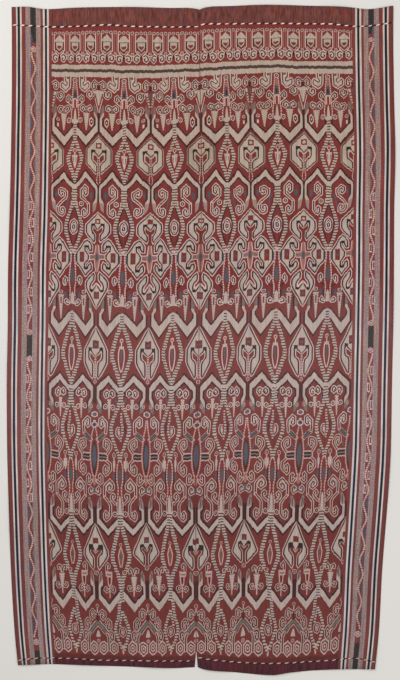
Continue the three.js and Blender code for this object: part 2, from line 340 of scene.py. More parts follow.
class Panel:
    """One woven length. Its pattern plane starts at the outer selvedge and ends at the seam."""

    def __init__(self, side):
        left = side == "left"
        self.side = side
        self.outward = -1 if left else 1
        self.selvedge = LEFT_SELVEDGE if left else RIGHT_SELVEDGE
        self.wefts = LEFT_WEFTS if left else RIGHT_WEFTS
        widths = LEFT_WIDTHS if left else RIGHT_WIDTHS
        self.shares = np.cumsum((0, *widths)) / sum(widths)
        self.sink = LEFT_SINK if left else RIGHT_SINK
        self.crest_row = LEFT_CREST_ROW if left else RIGHT_CREST_ROW

    def weft_y(self, name, bundles):
        share = bundles / PANEL_BUNDLES
        return smooth_read(self.wefts[name], share if self.side == "left" else 1 - share)

    def height(self, bundles, rows):
        """The y of places in the pattern plane."""
        lanes = (0, *AXES)
        lines = [(HEAD_ROW, self.weft_y("head edge", bundles)),
                 (HEAD_TWINING_ROW, self.weft_y("head twining", bundles))]
        for row, sinks in zip(SINK_ROWS, self.sink):
            sunk = row + np.interp(bundles, lanes, sinks)
            lines.append((row, (PHOTO_ORIGIN[1] - sunk) * BUNDLE))
        lines.append((FOOT_TWINING_ROW, self.weft_y("foot twining", bundles)))
        lines.append((FOOT_ROW, self.weft_y("foot edge", bundles)))
        line_rows = np.array([row for row, _ in lines], float)
        line_heights = np.array([heights for _, heights in lines])
        above = np.clip(np.searchsorted(line_rows, rows) - 1, 0, len(lines) - 2)
        blend = (rows - line_rows[above]) / (line_rows[above + 1] - line_rows[above])
        column = np.arange(len(bundles))
        return (1 - blend) * line_heights[above, column] + blend * line_heights[above + 1, column]

    def place(self, bundles, rows):
        """The x and y of places in the pattern plane, in millimetres."""
        y = self.height(bundles, rows)
        selvedge = smooth_read(self.selvedge, y)
        seam = smooth_read(SEAM, y) + self.outward * seam_half_gap(y)
        return selvedge + np.interp(bundles, LANE_BUNDLES, self.shares) * (seam - selvedge), y


# Pattern

def points(text):
    return [tuple(float(number) for number in pair.split(",")) for pair in text.split()]


def clipped(outline, low, high):
    """The part of a flat shape between two lines along the warp."""
    for side, limit in ((1, low), (-1, high)):
        kept = []
        for (a, row), (next_a, next_row) in zip(outline, outline[1:] + outline[:1]):
            inside, next_inside = side * (a - limit) >= 0, side * (next_a - limit) >= 0
            if inside:
                kept.append((a, row))
            if inside != next_inside:
                share = (limit - a) / (next_a - a)
                kept.append((limit, row + share * (next_row - row)))
        outline = kept
    return outline


class Chart:
    """The figures of one panel: flat shapes in the pattern plane, the later ones on top."""

    def __init__(self):
        self.shapes = []
        self.start = 0
        self.hand = 1
        self.shift = (0, 0, 1)

    def fill(self, dye, outline):
        """A flat shape, given from the medallion's axis at 0 to the lozenge's axis at 25."""
        outline = points(outline) if isinstance(outline, str) else outline
        across, down, turn = self.shift
        moved = [(across + turn * a, down + row) for a, row in outline]
        kept = clipped(moved, 0, HALF_REPEAT)
        if len(kept) > 2:
            self.shapes.append((dye, [(self.start + self.hand * a, row) for a, row in kept]))

    def line(self, dye, width, path, closed=False):
        """A line of even width, drawn as one four-sided shape for each stretch."""
        path = points(path) if isinstance(path, str) else list(path)
        if closed:
            path.append(path[0])
        spots = np.array(path, float)
        along = np.diff(spots, axis=0)
        along /= np.linalg.norm(along, axis=1)[:, None]
        normals = np.stack([-along[:, 1], along[:, 0]], 1)
        sides = []
        last = len(spots) - 1
        for place in range(len(spots)):
            before = normals[place - 1] if place or closed else normals[0]
            after = normals[place] if place < last else (normals[0] if closed else normals[-1])
            mitre = before + after
            size = np.linalg.norm(mitre)
            mitre = after if size < SHARPEST_CORNER else mitre / size
            sides.append(mitre * width / 2 / max(np.dot(mitre, after), LEAST_MITRE))
        for place in range(last):
            a, b = spots[place], spots[place + 1]
            if a[0] == b[0] and a[0] in (0, HALF_REPEAT) and closed:
                continue
            near, far = sides[place], sides[place + 1]
            slanted = abs(b[0] - a[0]) > SLANTED * abs(b[1] - a[1])
            stretch_dye = "umber" if dye == "indigo" and slanted and width < THIN_LINE else dye
            self.fill(stretch_dye, [tuple(a + near), tuple(b + far), tuple(b - far), tuple(a - near)])

    def piped(self, path, width=PIPE_WIDTH):
        """A pale line with a dark one down its middle."""
        path = points(path)
        self.line("line", width, lengthened(path, (width - PIPE_CORE) / 2))
        self.line("indigo", PIPE_CORE, path)

    def beads(self, width, path):
        """A thin pale line along the warp, tied in short lengths with dyed gaps between them."""
        path = points(path)
        self.line("pink", width * 0.8, path)
        for (a, row), (next_a, next_row) in zip(path, path[1:]):
            count = max(round(abs(next_row - row) / BEAD_PITCH), 1)
            for number in range(count):
                shares = number / count, (number + BEAD_SHARE) / count
                bead = [(a + (next_a - a) * share, row + (next_row - row) * share) for share in shares]
                self.line("line", width * 1.1, bead)

    def blob(self, path):
        """A closed shape filled with cream, with a dark line round it and a pale one outside."""
        path = points(path)
        self.line("line", BLOB_RIM, path, closed=True)
        self.fill("cream", path)
        self.line("indigo", BLOB_CORE, path, closed=True)

    def ring(self, a, row, across=2.1, along=2.3, dyes=("line", "indigo", "line")):
        """A small six-sided ring, drawn as one hexagon on another."""
        for dye, size in zip(dyes, RING_SIZES):
            self.fill(dye, hexagon(a, row, across * size, along * size))

    def nest(self, a, row, across, along):
        """Hexagons one inside another, as a spiral looks from a step away."""
        for dye, size in NEST:
            self.fill(dye, hexagon(a, row, across * size, along * size))

    def steps(self, left, right, top, foot, pitch=STEP_PITCH):
        """A cream body with stepped sides that narrows from its top to its foot."""
        count = max(round((foot - top) / pitch), 1)
        step = (foot - top) / count
        middle = (left + right) / 2
        for number in range(count):
            row = top + number * step
            share = number / count
            half = (right - left) / 2 * (1 - share) + 0.35 * share
            self.fill("cream", box(middle - half, row, middle + half, row + step * 0.7))
            self.fill("cream", box(middle - half * 0.62, row, middle + half * 0.62, row + step))

    def ladder(self, width, path):
        """A strand of crosswise bars, one above the other, whose middle follows a path."""
        middles, rows = zip(*points(path))
        row = rows[0]
        number = 0
        while row < rows[-1]:
            middle = float(np.interp(row, rows, middles))
            side = LADDER_SIDES[number % len(LADDER_SIDES)] * width
            spot = LADDER_SPOTS[number % len(LADDER_SPOTS)] * width
            reach = LADDER_REACHES[number % len(LADDER_REACHES)] * width
            dye = ("indigo", "umber")[number % 2]
            bar, step = row + LADDER_BAR, row + LADDER_PITCH
            self.fill("deep red", box(middle - width * 0.4, row, middle + width * 0.4, step))
            self.fill("cream", box(middle - side / 2 - reach, row, middle - side / 2 + reach, bar))
            self.fill(dye, box(middle + side - spot, bar, middle + side + spot, step))
            row += LADDER_PITCH
            number += 1


def lengthened(path, extra):
    """The same path with its two ends drawn out a little."""
    first, second = np.array(path[0]), np.array(path[1])
    last, other = np.array(path[-1]), np.array(path[-2])
    head = first + (first - second) / np.linalg.norm(first - second) * extra
    tail = last + (last - other) / np.linalg.norm(last - other) * extra
    return [tuple(head)] + path[1:-1] + [tuple(tail)]


def box(left, top, right, bottom):
    return [(left, top), (right, top), (right, bottom), (left, bottom)]


def hexagon(a, row, across, along):
    return [(a, row - along), (a + across, row - along * 0.5), (a + across, row + along * 0.5),
            (a, row + along), (a - across, row + along * 0.5), (a - across, row - along * 0.5)]


# Figures from the head to the foot: a kind, then its sizes and its path. A kind that isn't a shape
# is the dye of a line. Places are bundles from the medallion's axis at 0 to the lozenge's axis
# at 25, and rows of the pattern plane, read off the photo
BOWL = ("14.6,77.5 14.6,81.8 16.5,84.2 16.4,86.2 15.2,86.8 11.4,83.8 10.2,85 "
        "10.3,88.2 15.2,92 18.8,88.8 19.2,84 19.4,77.5")
ARCH = "0,622.2 5.6,628.8 8.6,633.4"

HEAD_ROW_FIGURE = (
    ("pipe", "-1.8,57 -4.2,55.9 -6.3,57.6 -6.6,60.2 -4.8,62.3 -3,61 -2.9,59.4 -4.3,58.8"),
    ("line", 1.0, "-5.4,34.5 -5.5,51.6 -1.7,56.2"),
    ("indigo", 0.9, "-4.3,42.6 -4.3,49.6 0,53.4"),
    ("line", 0.7, "-3.8,51.4 0,55"),
    ("fill cream", "0,35.6 -2.3,37.8 -5,41 -5,42.2 -3.5,42.4 -3.5,47.6 -2.8,49.4 0,51.8 0,40"),
    ("grey", 0.9, "-4.1,42.9 0,42.9"),
    ("fill red", "0,46.6 -2.7,46.8 -2.1,48.6 0,50.4"),
    ("indigo", 1.5, "0,55.5 0,59.6"),
    ("ring", 0, 33.3, 1.5, 1.7, ("line", "umber", "pink")),
    ("ring", -4, 33.6, 1.6, 1.9, ("line", "umber", "pink")),
)

BAND = (
    ("fill cream", "0,65.7 25,65.7 25,70.6 0,70.6"),
    ("fill cream", "0,72.6 25,72.6 25,78.2 0,78.2"),
    ("umber", 3.1, "0,71.7 25,71.7"),
)

REGISTER_1 = (
    # Bowl that hangs from the band
    ("line", 3.2, BOWL),
    ("fill cream", "16,81 19,81 18.4,84 18.4,88.4 15.2,91 11,87.6 11,85 15.2,88 17.3,87"),
    ("fill cream", "15.4,78 19.2,78 19.2,83 16.6,83"),
    ("indigo", 1.0, BOWL),
    ("fill red", "16.2,78.2 18.6,78.2 18.6,80.4 16.2,80.4"),
    # Hooks back to back on the medallion's axis
    ("pipe", "0,85.4 1.5,84.4 4,82 6.4,84.2 6.5,88.8 4.9,90.2 3.2,89 3.4,86.8 4.7,87", 2.5),
    ("fill shade", "0,86 0.9,86 0.9,91.5 0,91.5"),
    # Tall figure on the lozenge's axis
    ("beads", 1.0, "23.5,83.5 22.8,90 22,99.5"),
    ("fill pink", "24.3,84.5 25,84.5 25,90.5 23.8,90.5"),
    ("fill slate", "25,90.5 24.1,91.5 22.9,99.2 25,99.6"),
    ("fill indigo", "25,93 24.4,94 24.2,98 25,98.6"),
    ("fill cream", "21.6,99.7 25,99.7 25,101.2 21.6,101.2"),
    ("beads", 1.0, "22,101 22,107.5 21,115 21.3,121"),
    ("line", 1.0, "23.4,101 23.4,109"),
    ("fill cream", "25,109 24.2,112 23.4,121 25,121"),
    ("fill cream", "21.6,120.6 25,120.6 25,124 21.6,124"),
    ("ring", 25, 81.3, 2.3, 2.5),
    ("pipe", "22,101.4 20.2,98.8 18.2,96.7 16.5,98.3 16.4,101.6 17.6,102.2 18.9,100.6 18,98.8", 2.5),
    ("line", 1.0, "16,102.3 19.6,105.6 22,107.4"),
)

REGISTER_1_A = (
    ("fill cream", "0,91.3 4.6,92.2 4.8,94.2 3,94.8 0,94.8"),
    ("steps", -3.5, 3.5, 94.4, 107, 1.9),
    ("line", 0.7, "4,99 2.7,104.4 1.2,110 0.5,114"),
    ("pipe", "6.6,92.5 5.7,94.5 5.9,97 8.7,99.4 11.6,97.2 11.6,94.3 9.8,92.8 8.4,94.8 8.6,96.8", 2.5),
    ("pipe", "12.6,110.6 11.6,108 9.4,106.8 7.8,108.4 7.9,110.6 9.5,111.6 10.3,110", 2.5),
    ("pipe", "13.4,110.6 14.6,108.4 16.6,106.7 18.6,108.4 18.6,110.9 17,112.2 15.8,110.8 16.6,109.2", 2.5),
    ("fill grey", "12.2,108.5 13.8,108.5 14,114 12,114"),
    ("ring", 7.8, 123.5, 2.1, 5.2),
    ("ring", 19.2, 121.5, 1.9, 2.8),
)

REGISTER_1_B = (
    ("ladder", 2.0, "3.1,95.2 2.2,101 1,107.6"),
    ("fill cream", "2.4,93.2 5,93.2 5,95.2 3.6,95.8 2.4,95.2"),
    ("fill slate", "0,92.5 1.4,94.5 1.3,97.5 0,99.5"),
    ("pink", 0.7, "4.2,99 2.8,104.4 1.2,110 0.5,114"),
    ("pipe", "7,93.8 6.3,98 9.4,101.4 12.3,98.2 12.2,94.8 9.8,93.2 8.2,95 8.3,97.5 9.8,98", 2.5),
    ("pipe", "12.8,112 12.7,109.8 11.4,108.2 8.8,107.8 7.2,109.6 8,112.3 9.6,113.4", 2.5),
    ("pipe", "13.6,112 13.7,109.8 15.4,107.6 17,106.9 18.9,108.4 19,111 17.2,112.9 16.2,112", 2.5),
    ("fill grey", "12.4,110.5 14,110.5 14.2,115 12.2,115"),
    ("ring", 7, 120.6, 1.7, 1.8),
    ("fill line", "6.1,124.3 7.8,124.3 7.8,127.8 6.1,127.8"),
    ("ring", 18.6, 121.6, 2.1, 2.9),
)

ARMS_1 = (
    ("shade", 1.5, "0.2,112 0.3,133.4 13.6,148 22.6,137.2"),
    ("shade", 1.6, "4,119.5 3.9,127 13.6,137 21.6,129 21.8,124"),
    ("fill cream", "5.2,113.5 5,117 3.2,120 3.2,127 13.6,138 22,129.2 25,127.5 25,135.5 22.4,136 "
                   "13.6,146.6 1.1,132.5 1.1,120.5 4,114"),
    ("fill grey", "4.4,105.4 5.3,107.4 5.2,113.6 4,114.2 2.7,117.4 1.7,117.4 2,110.4"),
    ("steps", 9.8, 16.4, 114.3, 131.5, 2.2),
    ("ladder", 4.0, "25,123.6 25,140 22.8,145 20.4,151 18.0,156.6 18.0,160 19.4,165 21.4,170 23.2,175 "
                    "25,180 25,189"),
)

MEDALLION_1 = (
    ("fill cream", "0,137 12.4,149.6 13.3,151.6 13.3,165.8 8.4,170.8 2.8,176 0.7,173.8 0.7,167 1.4,164 "
                   "0,164"),
    ("indigo", 1.15, "0,138.6 1.6,140 11.4,149.8 12.2,151.8 12.2,165.2 8,169.4 2.5,174.2 1.7,172.8 "
                     "1.8,167 3.4,164.8 6.6,161.9 7.1,160.2 7.1,154.4 4.8,152.4 2.6,154.6 0,157.6"),
    ("fill indigo", "3.2,151 7.9,151 7.9,154.6 6.6,154.8 5,153.2 3.4,154.6"),
    ("fill red", "0,159.8 4,156 5.2,157 5.2,160.8 2.4,163.4 0.9,165.2 0,165.2"),
    ("fill red", "0,144.4 2.9,144.4 2.9,150 0,150"),
    ("fill cream", "0,145.6 1.5,146.2 1.5,148.2 0,148.8"),
    ("beads", 0.7, "0.8,158 0.8,175.4 1.6,179.4 1.6,182.6 0.4,187"),
)

INSIDE_LADDER_1 = (
    ("ring", 25, 152, 1.8, 2.6, ("line", "red", "pink")),
    ("line", 1.0, "25,154 25,157"),
    ("fill cream", "21.9,156.4 25,156.4 25,158.8 22.5,158.8"),
    ("fill line", "22.4,158.4 25,158.4 25,170.6 24.3,168.6 23,163.4"),
    ("fill slate", "23.1,158.8 24.1,158.8 24.1,164.4 23.6,164.4"),
)

ARMS_2 = (
    ("shade", 1.5, "0.2,203 0.2,188 1.4,185.4 8,178.6 13.5,171.8 17.4,176.4 23.2,184.2 25,185"),
    ("shade", 1.5, "5,203 3.5,199.4 3.4,190 8,185.8 13.5,179.8 18.6,185.6 22.2,189.4 22.4,196"),
    ("fill cream", "13.5,172.8 15,174.2 17,178.4 20,182.3 23.4,185.4 25,186 25,191 23,189.6 18,185 "
                   "13.5,179 12,180.4 7.4,185.6 3,189.4 2.6,191.4 2.7,199 5,203 5.6,206.4 5,209.4 "
                   "3,207.4 1,202.4 0.7,190 1.4,186.6 8.6,179.6 11.6,175.2"),
    ("fill beige", "1.2,203 5.2,205 5.5,209 5.4,214 2.6,210.4"),
    ("fill cream", "22.9,189 25,189 25,199 22.9,199"),
)

REGISTER_2_A = (
    ("fill slate", "7.5,192.6 9.2,195.5 9.2,198.5 7.5,201 5.8,198.5 5.8,195.5"),
    ("pipe", "10,213.6 10,204.8 17.7,197.8 17.8,191.6 14,187.4 11.6,189.6 11.6,194.6 13.3,196.2 "
             "14.8,194.6 13.7,192.4"),
    ("ring", 17.5, 205, 2.4, 3),
)

REGISTER_2_B = (
    ("fill slate", "6.1,193 7.4,195 7.4,197.5 6.1,199.5 4.8,197.5 4.8,195"),
    ("pipe", "7.3,213.4 7.2,209 10,205 16,199.6 16.8,197 16.8,193.2 12,189.6 9.4,191.6 9.4,195.4 "
             "11.4,197.4 12.8,196.8 12.5,194.8"),
    ("slate", 1.4, "20,198 17.8,204 16.8,210.5"),
)

MEDALLION_2 = (
    ("blob", "0,214 2.6,216.8 6.6,220.6 11.2,225.2 11.7,228 11.6,233 9.6,236 3.3,242.4 2.6,241 "
             "2.8,236.4 5.4,232.8 6.1,229.5 6.1,227 4.6,225 2.8,226.8 1,229.8 0,230.7"),
    ("fill indigo", "2.6,224.2 6.7,224.2 6.9,228 5.6,228 4.6,226.4 3.2,227.6"),
    ("fill red", "0,232.6 3.6,228.8 4.6,229.6 4.7,232 1.6,235.4 1.4,246 0,246"),
    ("fill red", "0,219.6 2.6,219.6 2.6,224.6 0,224.6"),
)

MEDALLION_2_A = (
    ("fill cream", "0,221.2 1.2,221.2 1.2,223.4 0,223.4"),
)

LOZENGE_2 = (
    ("fill cream", "21.4,203 23.6,203 23.6,209 21.4,209"),
    ("ladder", 3.8, "24,189 24,202 22.8,207 21,212 19,217.6 17.3,223 16.5,229 17.4,234 19.1,239.6 "
                    "21.3,245.4 23.5,250.6 24,256"),
    ("pipe", "25,221.6 22.8,223.4 21.5,226.4 21.6,231.4 23.4,234.4 25,235.2"),
    ("pipe", "25,226.6 23.9,227.8 24,230 25,230.8"),
    ("shade", 1.0, "24.4,209 22.4,214.6 20.6,220 19.9,226 20.2,232 22,240 23.8,246.6"),
)

SPIRALS_2_A = (
    ("pipe", "10,205 10,214 11.6,216.2 14,217.8 16,216 16.2,212 14.8,210.4 13.4,211.8 13.9,213.8"),
)

SPIRALS_2_B = (
    ("pipe", "7.3,209 7.3,213 9.5,216 12.5,217.2 14.5,215.5 14.7,211.5 13.5,209.6 11.5,210 11.5,212 "
             "12.8,213"),
)

# Star on the medallion's axis, and the six-sided shapes on either side of it
REGISTER_3 = (
    ("fill pink", "0,244 1.6,248 2.2,255.4 9,255.8 9.6,260.6 2.6,260.9 2,268 0,275"),
    ("line", 0.8, "1.4,246 2.4,255.4 9,255.8"),
    ("line", 0.8, "9.4,260.6 2.7,260.9 2,267 0.8,273"),
    ("fill grey", "3,257.2 9,257.4 9,259.2 3,259.4"),
    ("fill slate", "0,253.6 1.5,256.6 1.6,260.2 0,263.6"),
    ("blob", "5.7,251.8 5.6,247 6.7,244.6 8.4,242.3 10.4,240.8 12.3,242 15,245.6 17,249.4 19.4,252.8 "
             "20.9,254.4 21,263 20.2,265.6 17.4,268.8 15.2,271.6 13.2,275.2 11.6,277.4 9.2,274.6 7,272 "
             "5.8,270.6 5.6,267 6.5,265 8.2,266.2 9.3,268.8 10,270.9 12,270.8 12.8,269.5 12.8,265.5 "
             "10.6,262.8 9,260.4 8.7,256.6 10.6,253.8 12.5,251.6 12.7,247 9.2,246.4 8.8,249 7.4,251.8"),
    ("indigo", 2.2, "9.4,247.2 12.7,247.2"),
    ("indigo", 2.2, "9.5,268.6 10.2,270.6 12.3,270.6 12.8,268.8"),
    ("fill red", "13.2,253.4 18,253.4 18,263.8 13.2,263.8"),
    ("fill slate", "14.8,257.2 16.8,257.2 16.8,260 14.8,260"),
    ("line", 0.9, "9.6,252.6 11.6,250 11.4,249"),
    # Tall figure on the lozenge's axis
    ("beads", 1.1, "25,251.6 23.2,254.4 23.2,262 22.4,268 21.8,276 21.6,284 22.6,289 22.6,296 21.6,299 "
                   "21.6,305"),
    ("slate", 1.0, "21.9,256 21.9,264"),
    ("fill slate", "25,270 23.3,273 23,282 25,286"),
    ("fill cream", "25,294 23.2,297 23,304 25,304"),
    ("indigo", 1.0, "21.3,294 21.2,304.6"),
    ("fill cream", "21.8,304 25,304 25,306 21.8,306"),
    ("pipe", "17.8,283.6 18.9,282 18.6,280 17.6,279 16.2,280.6 16,284.2 17.2,286.2"),
    ("shade", 0.9, "17.4,286.6 21.6,291"),
    ("fill slate", "17.8,292.6 19.2,295 19.2,297.6 17.8,299.8 16.4,297.6 16.4,295"),
    ("pipe", "21.4,305.4 19.6,306.2 17.8,304.8 17.7,302.8 18.9,301.9 20,303"),
)

TULIP = (
    ("blob", "3,275 6.4,278.6 9.2,282.4 10.4,284.6 10.6,288.6 9.7,291.4 6.8,296.4 4,301 1.8,305.6 0,309 "
             "0,286.8 1.6,288.6 3.4,291.8 4.8,293.4 6.4,292.6 6.7,288.4 5.8,285.4 3.6,282.6 2.8,281.2 "
             "2.5,277"),
    ("indigo", 2.0, "4,291.4 5,292.8 6.2,292"),
    ("line", 0.9, "0,284.2 1.8,286 4.7,290 5,286.6 2,282"),
    ("fill red", "0,293 2.7,293 2.7,300 0,300"),
    ("fill slate", "0,295 1.3,295 1.3,298 0,298"),
)

REGISTER_3_CELL = (
    ("ring", 13, 293.6, 2.1, 2.2),
    ("steps", 10.4, 16, 296.6, 321.5),
    ("fill red", "12.5,299.4 14,299.4 13.9,306.6 12.6,306.6"),
)

ARMS_4 = (
    ("shade", 1.5, "8.4,300 8.4,312"),
    ("shade", 1.5, "2,315 1.9,326.6 11,339.4 21,324.2"),
    ("shade", 1.6, "5.9,315 6,319 11.1,326.2 15.4,321 20.6,314.4 22,312"),
    ("fill cream", "4.6,312 3,315 2.8,326 11.1,337.9 21.3,323.2 25,321.5 25,312.6 21.2,314.6 15.6,321.8 "
                   "11.1,327.3 5.2,319 5.1,315.6 7.6,311 7.4,307 5.4,307"),
    ("fill grey", "7.2,299 7.8,303 7.6,309 5.4,310 4.6,307"),
)

MEDALLION_3 = (
    ("blob", "0,328.6 1.8,332.4 5.4,340 9.1,347.4 10.6,350.8 10.7,362.6 9.7,366 6.6,372.4 4.4,377 "
             "3.2,378.2 2.6,376.6 2.7,366 3.6,362.8 6.2,360.4 6.9,357.6 6.9,352 5.6,350.2 3.4,353.4 "
             "0,357"),
    ("fill indigo", "3.7,348.4 7.3,348.4 7.4,352.6 6,352.8 5.2,351.2 4,352.8"),
    ("fill red", "0,359 3.9,355.4 4.8,355.8 4.9,358.8 2,361.8 1.2,364.8 1.1,382 0,382"),
    ("fill deep red", "0,341.2 3.1,341.2 3.1,349.4 0,349.4"),
    ("fill slate", "0,344.2 1.6,344.2 1.6,346.8 0,346.8"),
    ("beads", 0.7, "0.5,359 0.5,380"),
    ("ring", 0, 382.4, 1.5, 2.2, ("line", "red", "pink")),
)

LOZENGE_3 = (
    ("ladder", 4.0, "25,314 24.6,322 22.8,328 20.6,334 18.6,341 16.9,348 15.8,353 16.3,358 18,363 "
                    "19.8,368.6 21.4,373 23,378 24.6,384 25,392"),
    ("ring", 25, 340.4, 1.6, 2.4, ("line", "pink", "red")),
    ("line", 1.0, "25,342.4 25,346.4"),
    ("fill cream", "22.7,346.2 25,346.2 25,349 22.7,349"),
    ("line", 1.0, "22.9,348.6 22.3,353 22.2,359 23,366 24.6,372"),
    ("fill slate", "24.2,349.4 25,349.4 25,363 24.4,361"),
)

ARMS_5 = (
    ("shade", 1.5, "0.9,404 0.9,387 4.6,382.6 9.4,378.2 13,374.4 18,380.6 23.6,386.4"),
    ("shade", 1.6, "7.6,410 7.6,403 5.1,398 5.1,392.6 8,390.2 13,383.6 17.6,389 22,393.8 22.4,400"),
    ("fill cream", "13,375.8 14.2,377 17.6,381.6 21,385.4 23.4,387.6 25,388.6 25,394 23,393.4 18.2,388 "
                   "13,382.2 11.2,385 7,389.8 4.3,392 4.1,398.4 6.5,402.4 6.8,409 5.6,407 3.2,403 2,399 "
                   "2,388 5,384 9.8,379.4"),
    ("fill grey", "2.6,403.6 5.6,407 6.9,409 6.7,415 4,412.6 2.2,408"),
    ("ring", 3.4, 407.6, 1.3, 2),
)

REGISTER_5 = (
    ("pipe", "13.9,395.6 13.3,392.8 11.6,391.3 9.9,392.7 9.6,395.5 11,397.8 12.4,397.1 12.3,395 "
             "11.3,394.4"),
    ("pipe", "14.6,395.6 15.4,392.4 16.9,391 18.4,392.7 18.5,395.3 17,396.9 15.8,396.1 16.4,394"),
    ("steps", 12.3, 15.8, 400, 420),
    ("ring", 10.3, 407.4, 2.1, 3),
    ("ring", 17.6, 407.8, 2.1, 3.2),
    ("fill slate", "20.4,398.4 21.6,400.6 20.4,403.6 19.2,400.8"),
    ("ladder", 3.7, "24.2,389 24,400 22.8,406 20.8,411 19.2,416 17.6,421 16.5,426 16.2,430.5 17.2,435.5"),
    ("ladder", 3.2, "17.2,435.5 18.6,440 20.4,445 22.2,450 24,454 24.6,460"),
    ("line", 4.4, "2.6,441.6 4.4,440 11,433.4"),
    ("slate", 2.8, "3.4,441 11,433.6"),
    ("indigo", 0.9, "3,439.4 10,432.6"),
    ("indigo", 0.9, "4.6,441.8 11.8,434.4"),
    ("pipe", "11,434 11.5,428.4 11.5,423.4 9.4,420.6 7.2,418.4 5.3,419.8 5.2,425.8 7,427.5 8.4,426 "
             "7.6,423.2"),
    ("ring", 0, 415.2, 3.2, 3.3, ("line", "slate", "grey")),
    ("beads", 1.1, "0.6,421 1.2,430 2.4,435 3,441 3.8,448 4.2,453 4,459 3.4,468 1.4,477"),
    # Spindle on the medallion's axis, with its double bars and the spirals above and below them
    ("fill shade", "0,441 1.6,446 2.6,454 2.7,460 2,467 0,476"),
    ("fill slate", "0,444.6 1.4,448.6 2.2,454.6 2.2,460.4 1.2,466 0,470.4"),
    ("fill line", "4.4,453.5 11.6,453.4 12.6,451.8 13.6,454.4 13.6,460.4 12.2,461.8 4.4,461.8"),
    ("fill indigo", "4.6,454.8 12.5,454.8 12.5,457 4.6,457"),
    ("fill grey", "4.6,457 12.5,457 12.5,458.5 4.6,458.5"),
    ("fill indigo", "4.6,458.5 12.5,458.5 12.5,460.5 4.6,460.5"),
    ("fill slate", "6.4,446.6 7.6,448 7.4,451 6.2,452 5.6,449"),
    ("pipe", "12.3,454.8 15,450.6 16.2,448 16.2,444.8 14.4,441.6 11.4,440 9.8,441.6 9.6,446.8 "
             "11.5,448.9 12.7,447 11.6,444.8"),
    ("pipe", "12.2,460.6 15.8,464.6 15.9,470.4 13.6,473.4 11.2,475.4 9.7,473.8 9.6,469 11,466.6 "
             "12.5,467.8 12,469.8"),
    ("line", 1.2, "19.3,457 19.3,472"),
    ("ring", 19.3, 455.4, 1.7, 2.8),
    ("beads", 1.1, "24.2,460.6 22.9,464 22.2,470 22.2,481 23.4,487 23.4,493 22.7,499 22,505 22.3,512.8"),
    ("fill slate", "25,469 23.8,472.6 23.5,480 25,485"),
    ("shade", 1.1, "20.9,472 20.9,488"),
)

REGISTER_5_A = (
    ("pipe", "25,428.4 22.9,428.2 22,430 22.1,434.4 24.2,437.4 25,437.8"),
    ("fill line", "25,430.6 23.5,431 23.6,434 25,435"),
    ("ring", 0, 425.6, 3.2, 3.3, ("line", "slate", "indigo")),
    ("fill cream", "18.3,461.2 20.5,461.2 20.6,466 19.4,471.6 18.4,466"),
)

REGISTER_5_B = (
    ("ladder", 2.4, "24.4,413 24.2,419 22.9,426 22.7,432 24.2,438 25,441"),
    ("shade", 1.2, "20.4,424 20.4,434"),
    ("fill cream", "17.6,461.2 21.2,461.2 21.3,467.4 19.4,471.8 17.6,467.4"),
)

REGISTER_6 = (
    ("beads", 1.0, "0.8,476 1.2,479 2.4,484"),
    ("fill pink", "0,478 1.2,480 1.4,485 0,487"),
    ("pipe", "5.4,479.2 4.9,477 5.9,475.8 7.4,477.6 7.6,483.4 6.1,485 4.5,484.2 2.6,481.2"),
    ("pipe", "3.6,491.4 2.6,490 3.8,488.6 5.2,490.2 5.3,493.2 4.3,494.9 1.4,493.4 0,491.8"),
    ("fill slate", "0,487.6 1,488.6 1,492.6 0,494"),
    ("pipe", "9.9,497.8 9.9,487 11.4,484.6 15.2,480.3 17.4,482.6 19,485.8 18.6,488.8 15,491.8 13,490 "
             "13.2,487.2 15,484.8 16.5,486.2 15.5,488.6"),
    ("pipe", "9.9,497.2 14.2,502.4 15.7,505.4 15.6,515.6 14.4,518 11.2,520.7 9.8,519 9.5,514.6 "
             "10.9,512.2 12.3,513 11.9,515.4"),
    ("pipe", "18.2,498.4 19.4,497.4 19.5,495.6 18.4,494.4 16.8,495.8 16.4,498.4 17.4,500.4 21,504.4"),
    ("fill slate", "19,473 20,475.4 20,479 19,481 18,479 18,475.4"),
    ("fill cream", "25,495 23.9,499 23.2,512.4 22,512.8 22,514.8 25,514.8"),
    ("indigo", 1.0, "21,505 21.1,512.6"),
    ("ring", 19.8, 514.2, 2.3, 3.1),
    ("grey", 1.2, "6.6,496.4 6.2,500"),
)

ARMS_6 = (
    ("shade", 1.6, "0.9,507 0.9,523.6 12.9,537 21.6,526.6"),
    ("shade", 1.6, "7.6,506 7.4,509.6 5.3,512.4 5.2,518.8 12.9,528.4 16,524.4 21.4,518.6"),
    ("fill cream", "6.9,505 6.6,509.4 4.3,511.6 4.2,519.2 12.9,529.8 16,526 21,520.4 25,516.6 25,524 "
                   "21.6,525.4 15.4,532.4 12.9,535.6 2.1,523.4 2.1,510 4,508.6"),
    ("fill beige", "5,497.6 6.9,499.6 6.9,507 5,510 2.4,509.4 2.6,504"),
    ("umber", 0.8, "5.2,499.4 4.4,508"),
    ("umber", 0.6, "6.5,500.6 6.2,506"),
)

MEDALLION_5_A = (
    ("blob", "0,525 1.8,529 5,537 7.1,541.8 9.6,547.4 11.2,551 11.6,556 9.6,560 5.4,566 3.4,568.6 "
             "2.7,567 2.7,559 3.6,556.6 6.2,554 6.8,551 6.8,546.8 4,545.8 1.8,549.6 0,553"),
    ("fill indigo", "2.8,544.8 7,544.8 7.2,550 5.4,550.6 4.2,549.2 2.2,551.4"),
    ("fill red", "0,554.6 3.8,550.9 4.9,551.4 4.9,553.4 2,556 1.3,558.4 1.1,572 0,572"),
    ("fill red", "0,538.2 2.8,538.2 2.8,544 0,544"),
    ("fill deep red", "0,540 1.4,540 1.4,544 0,544"),
)

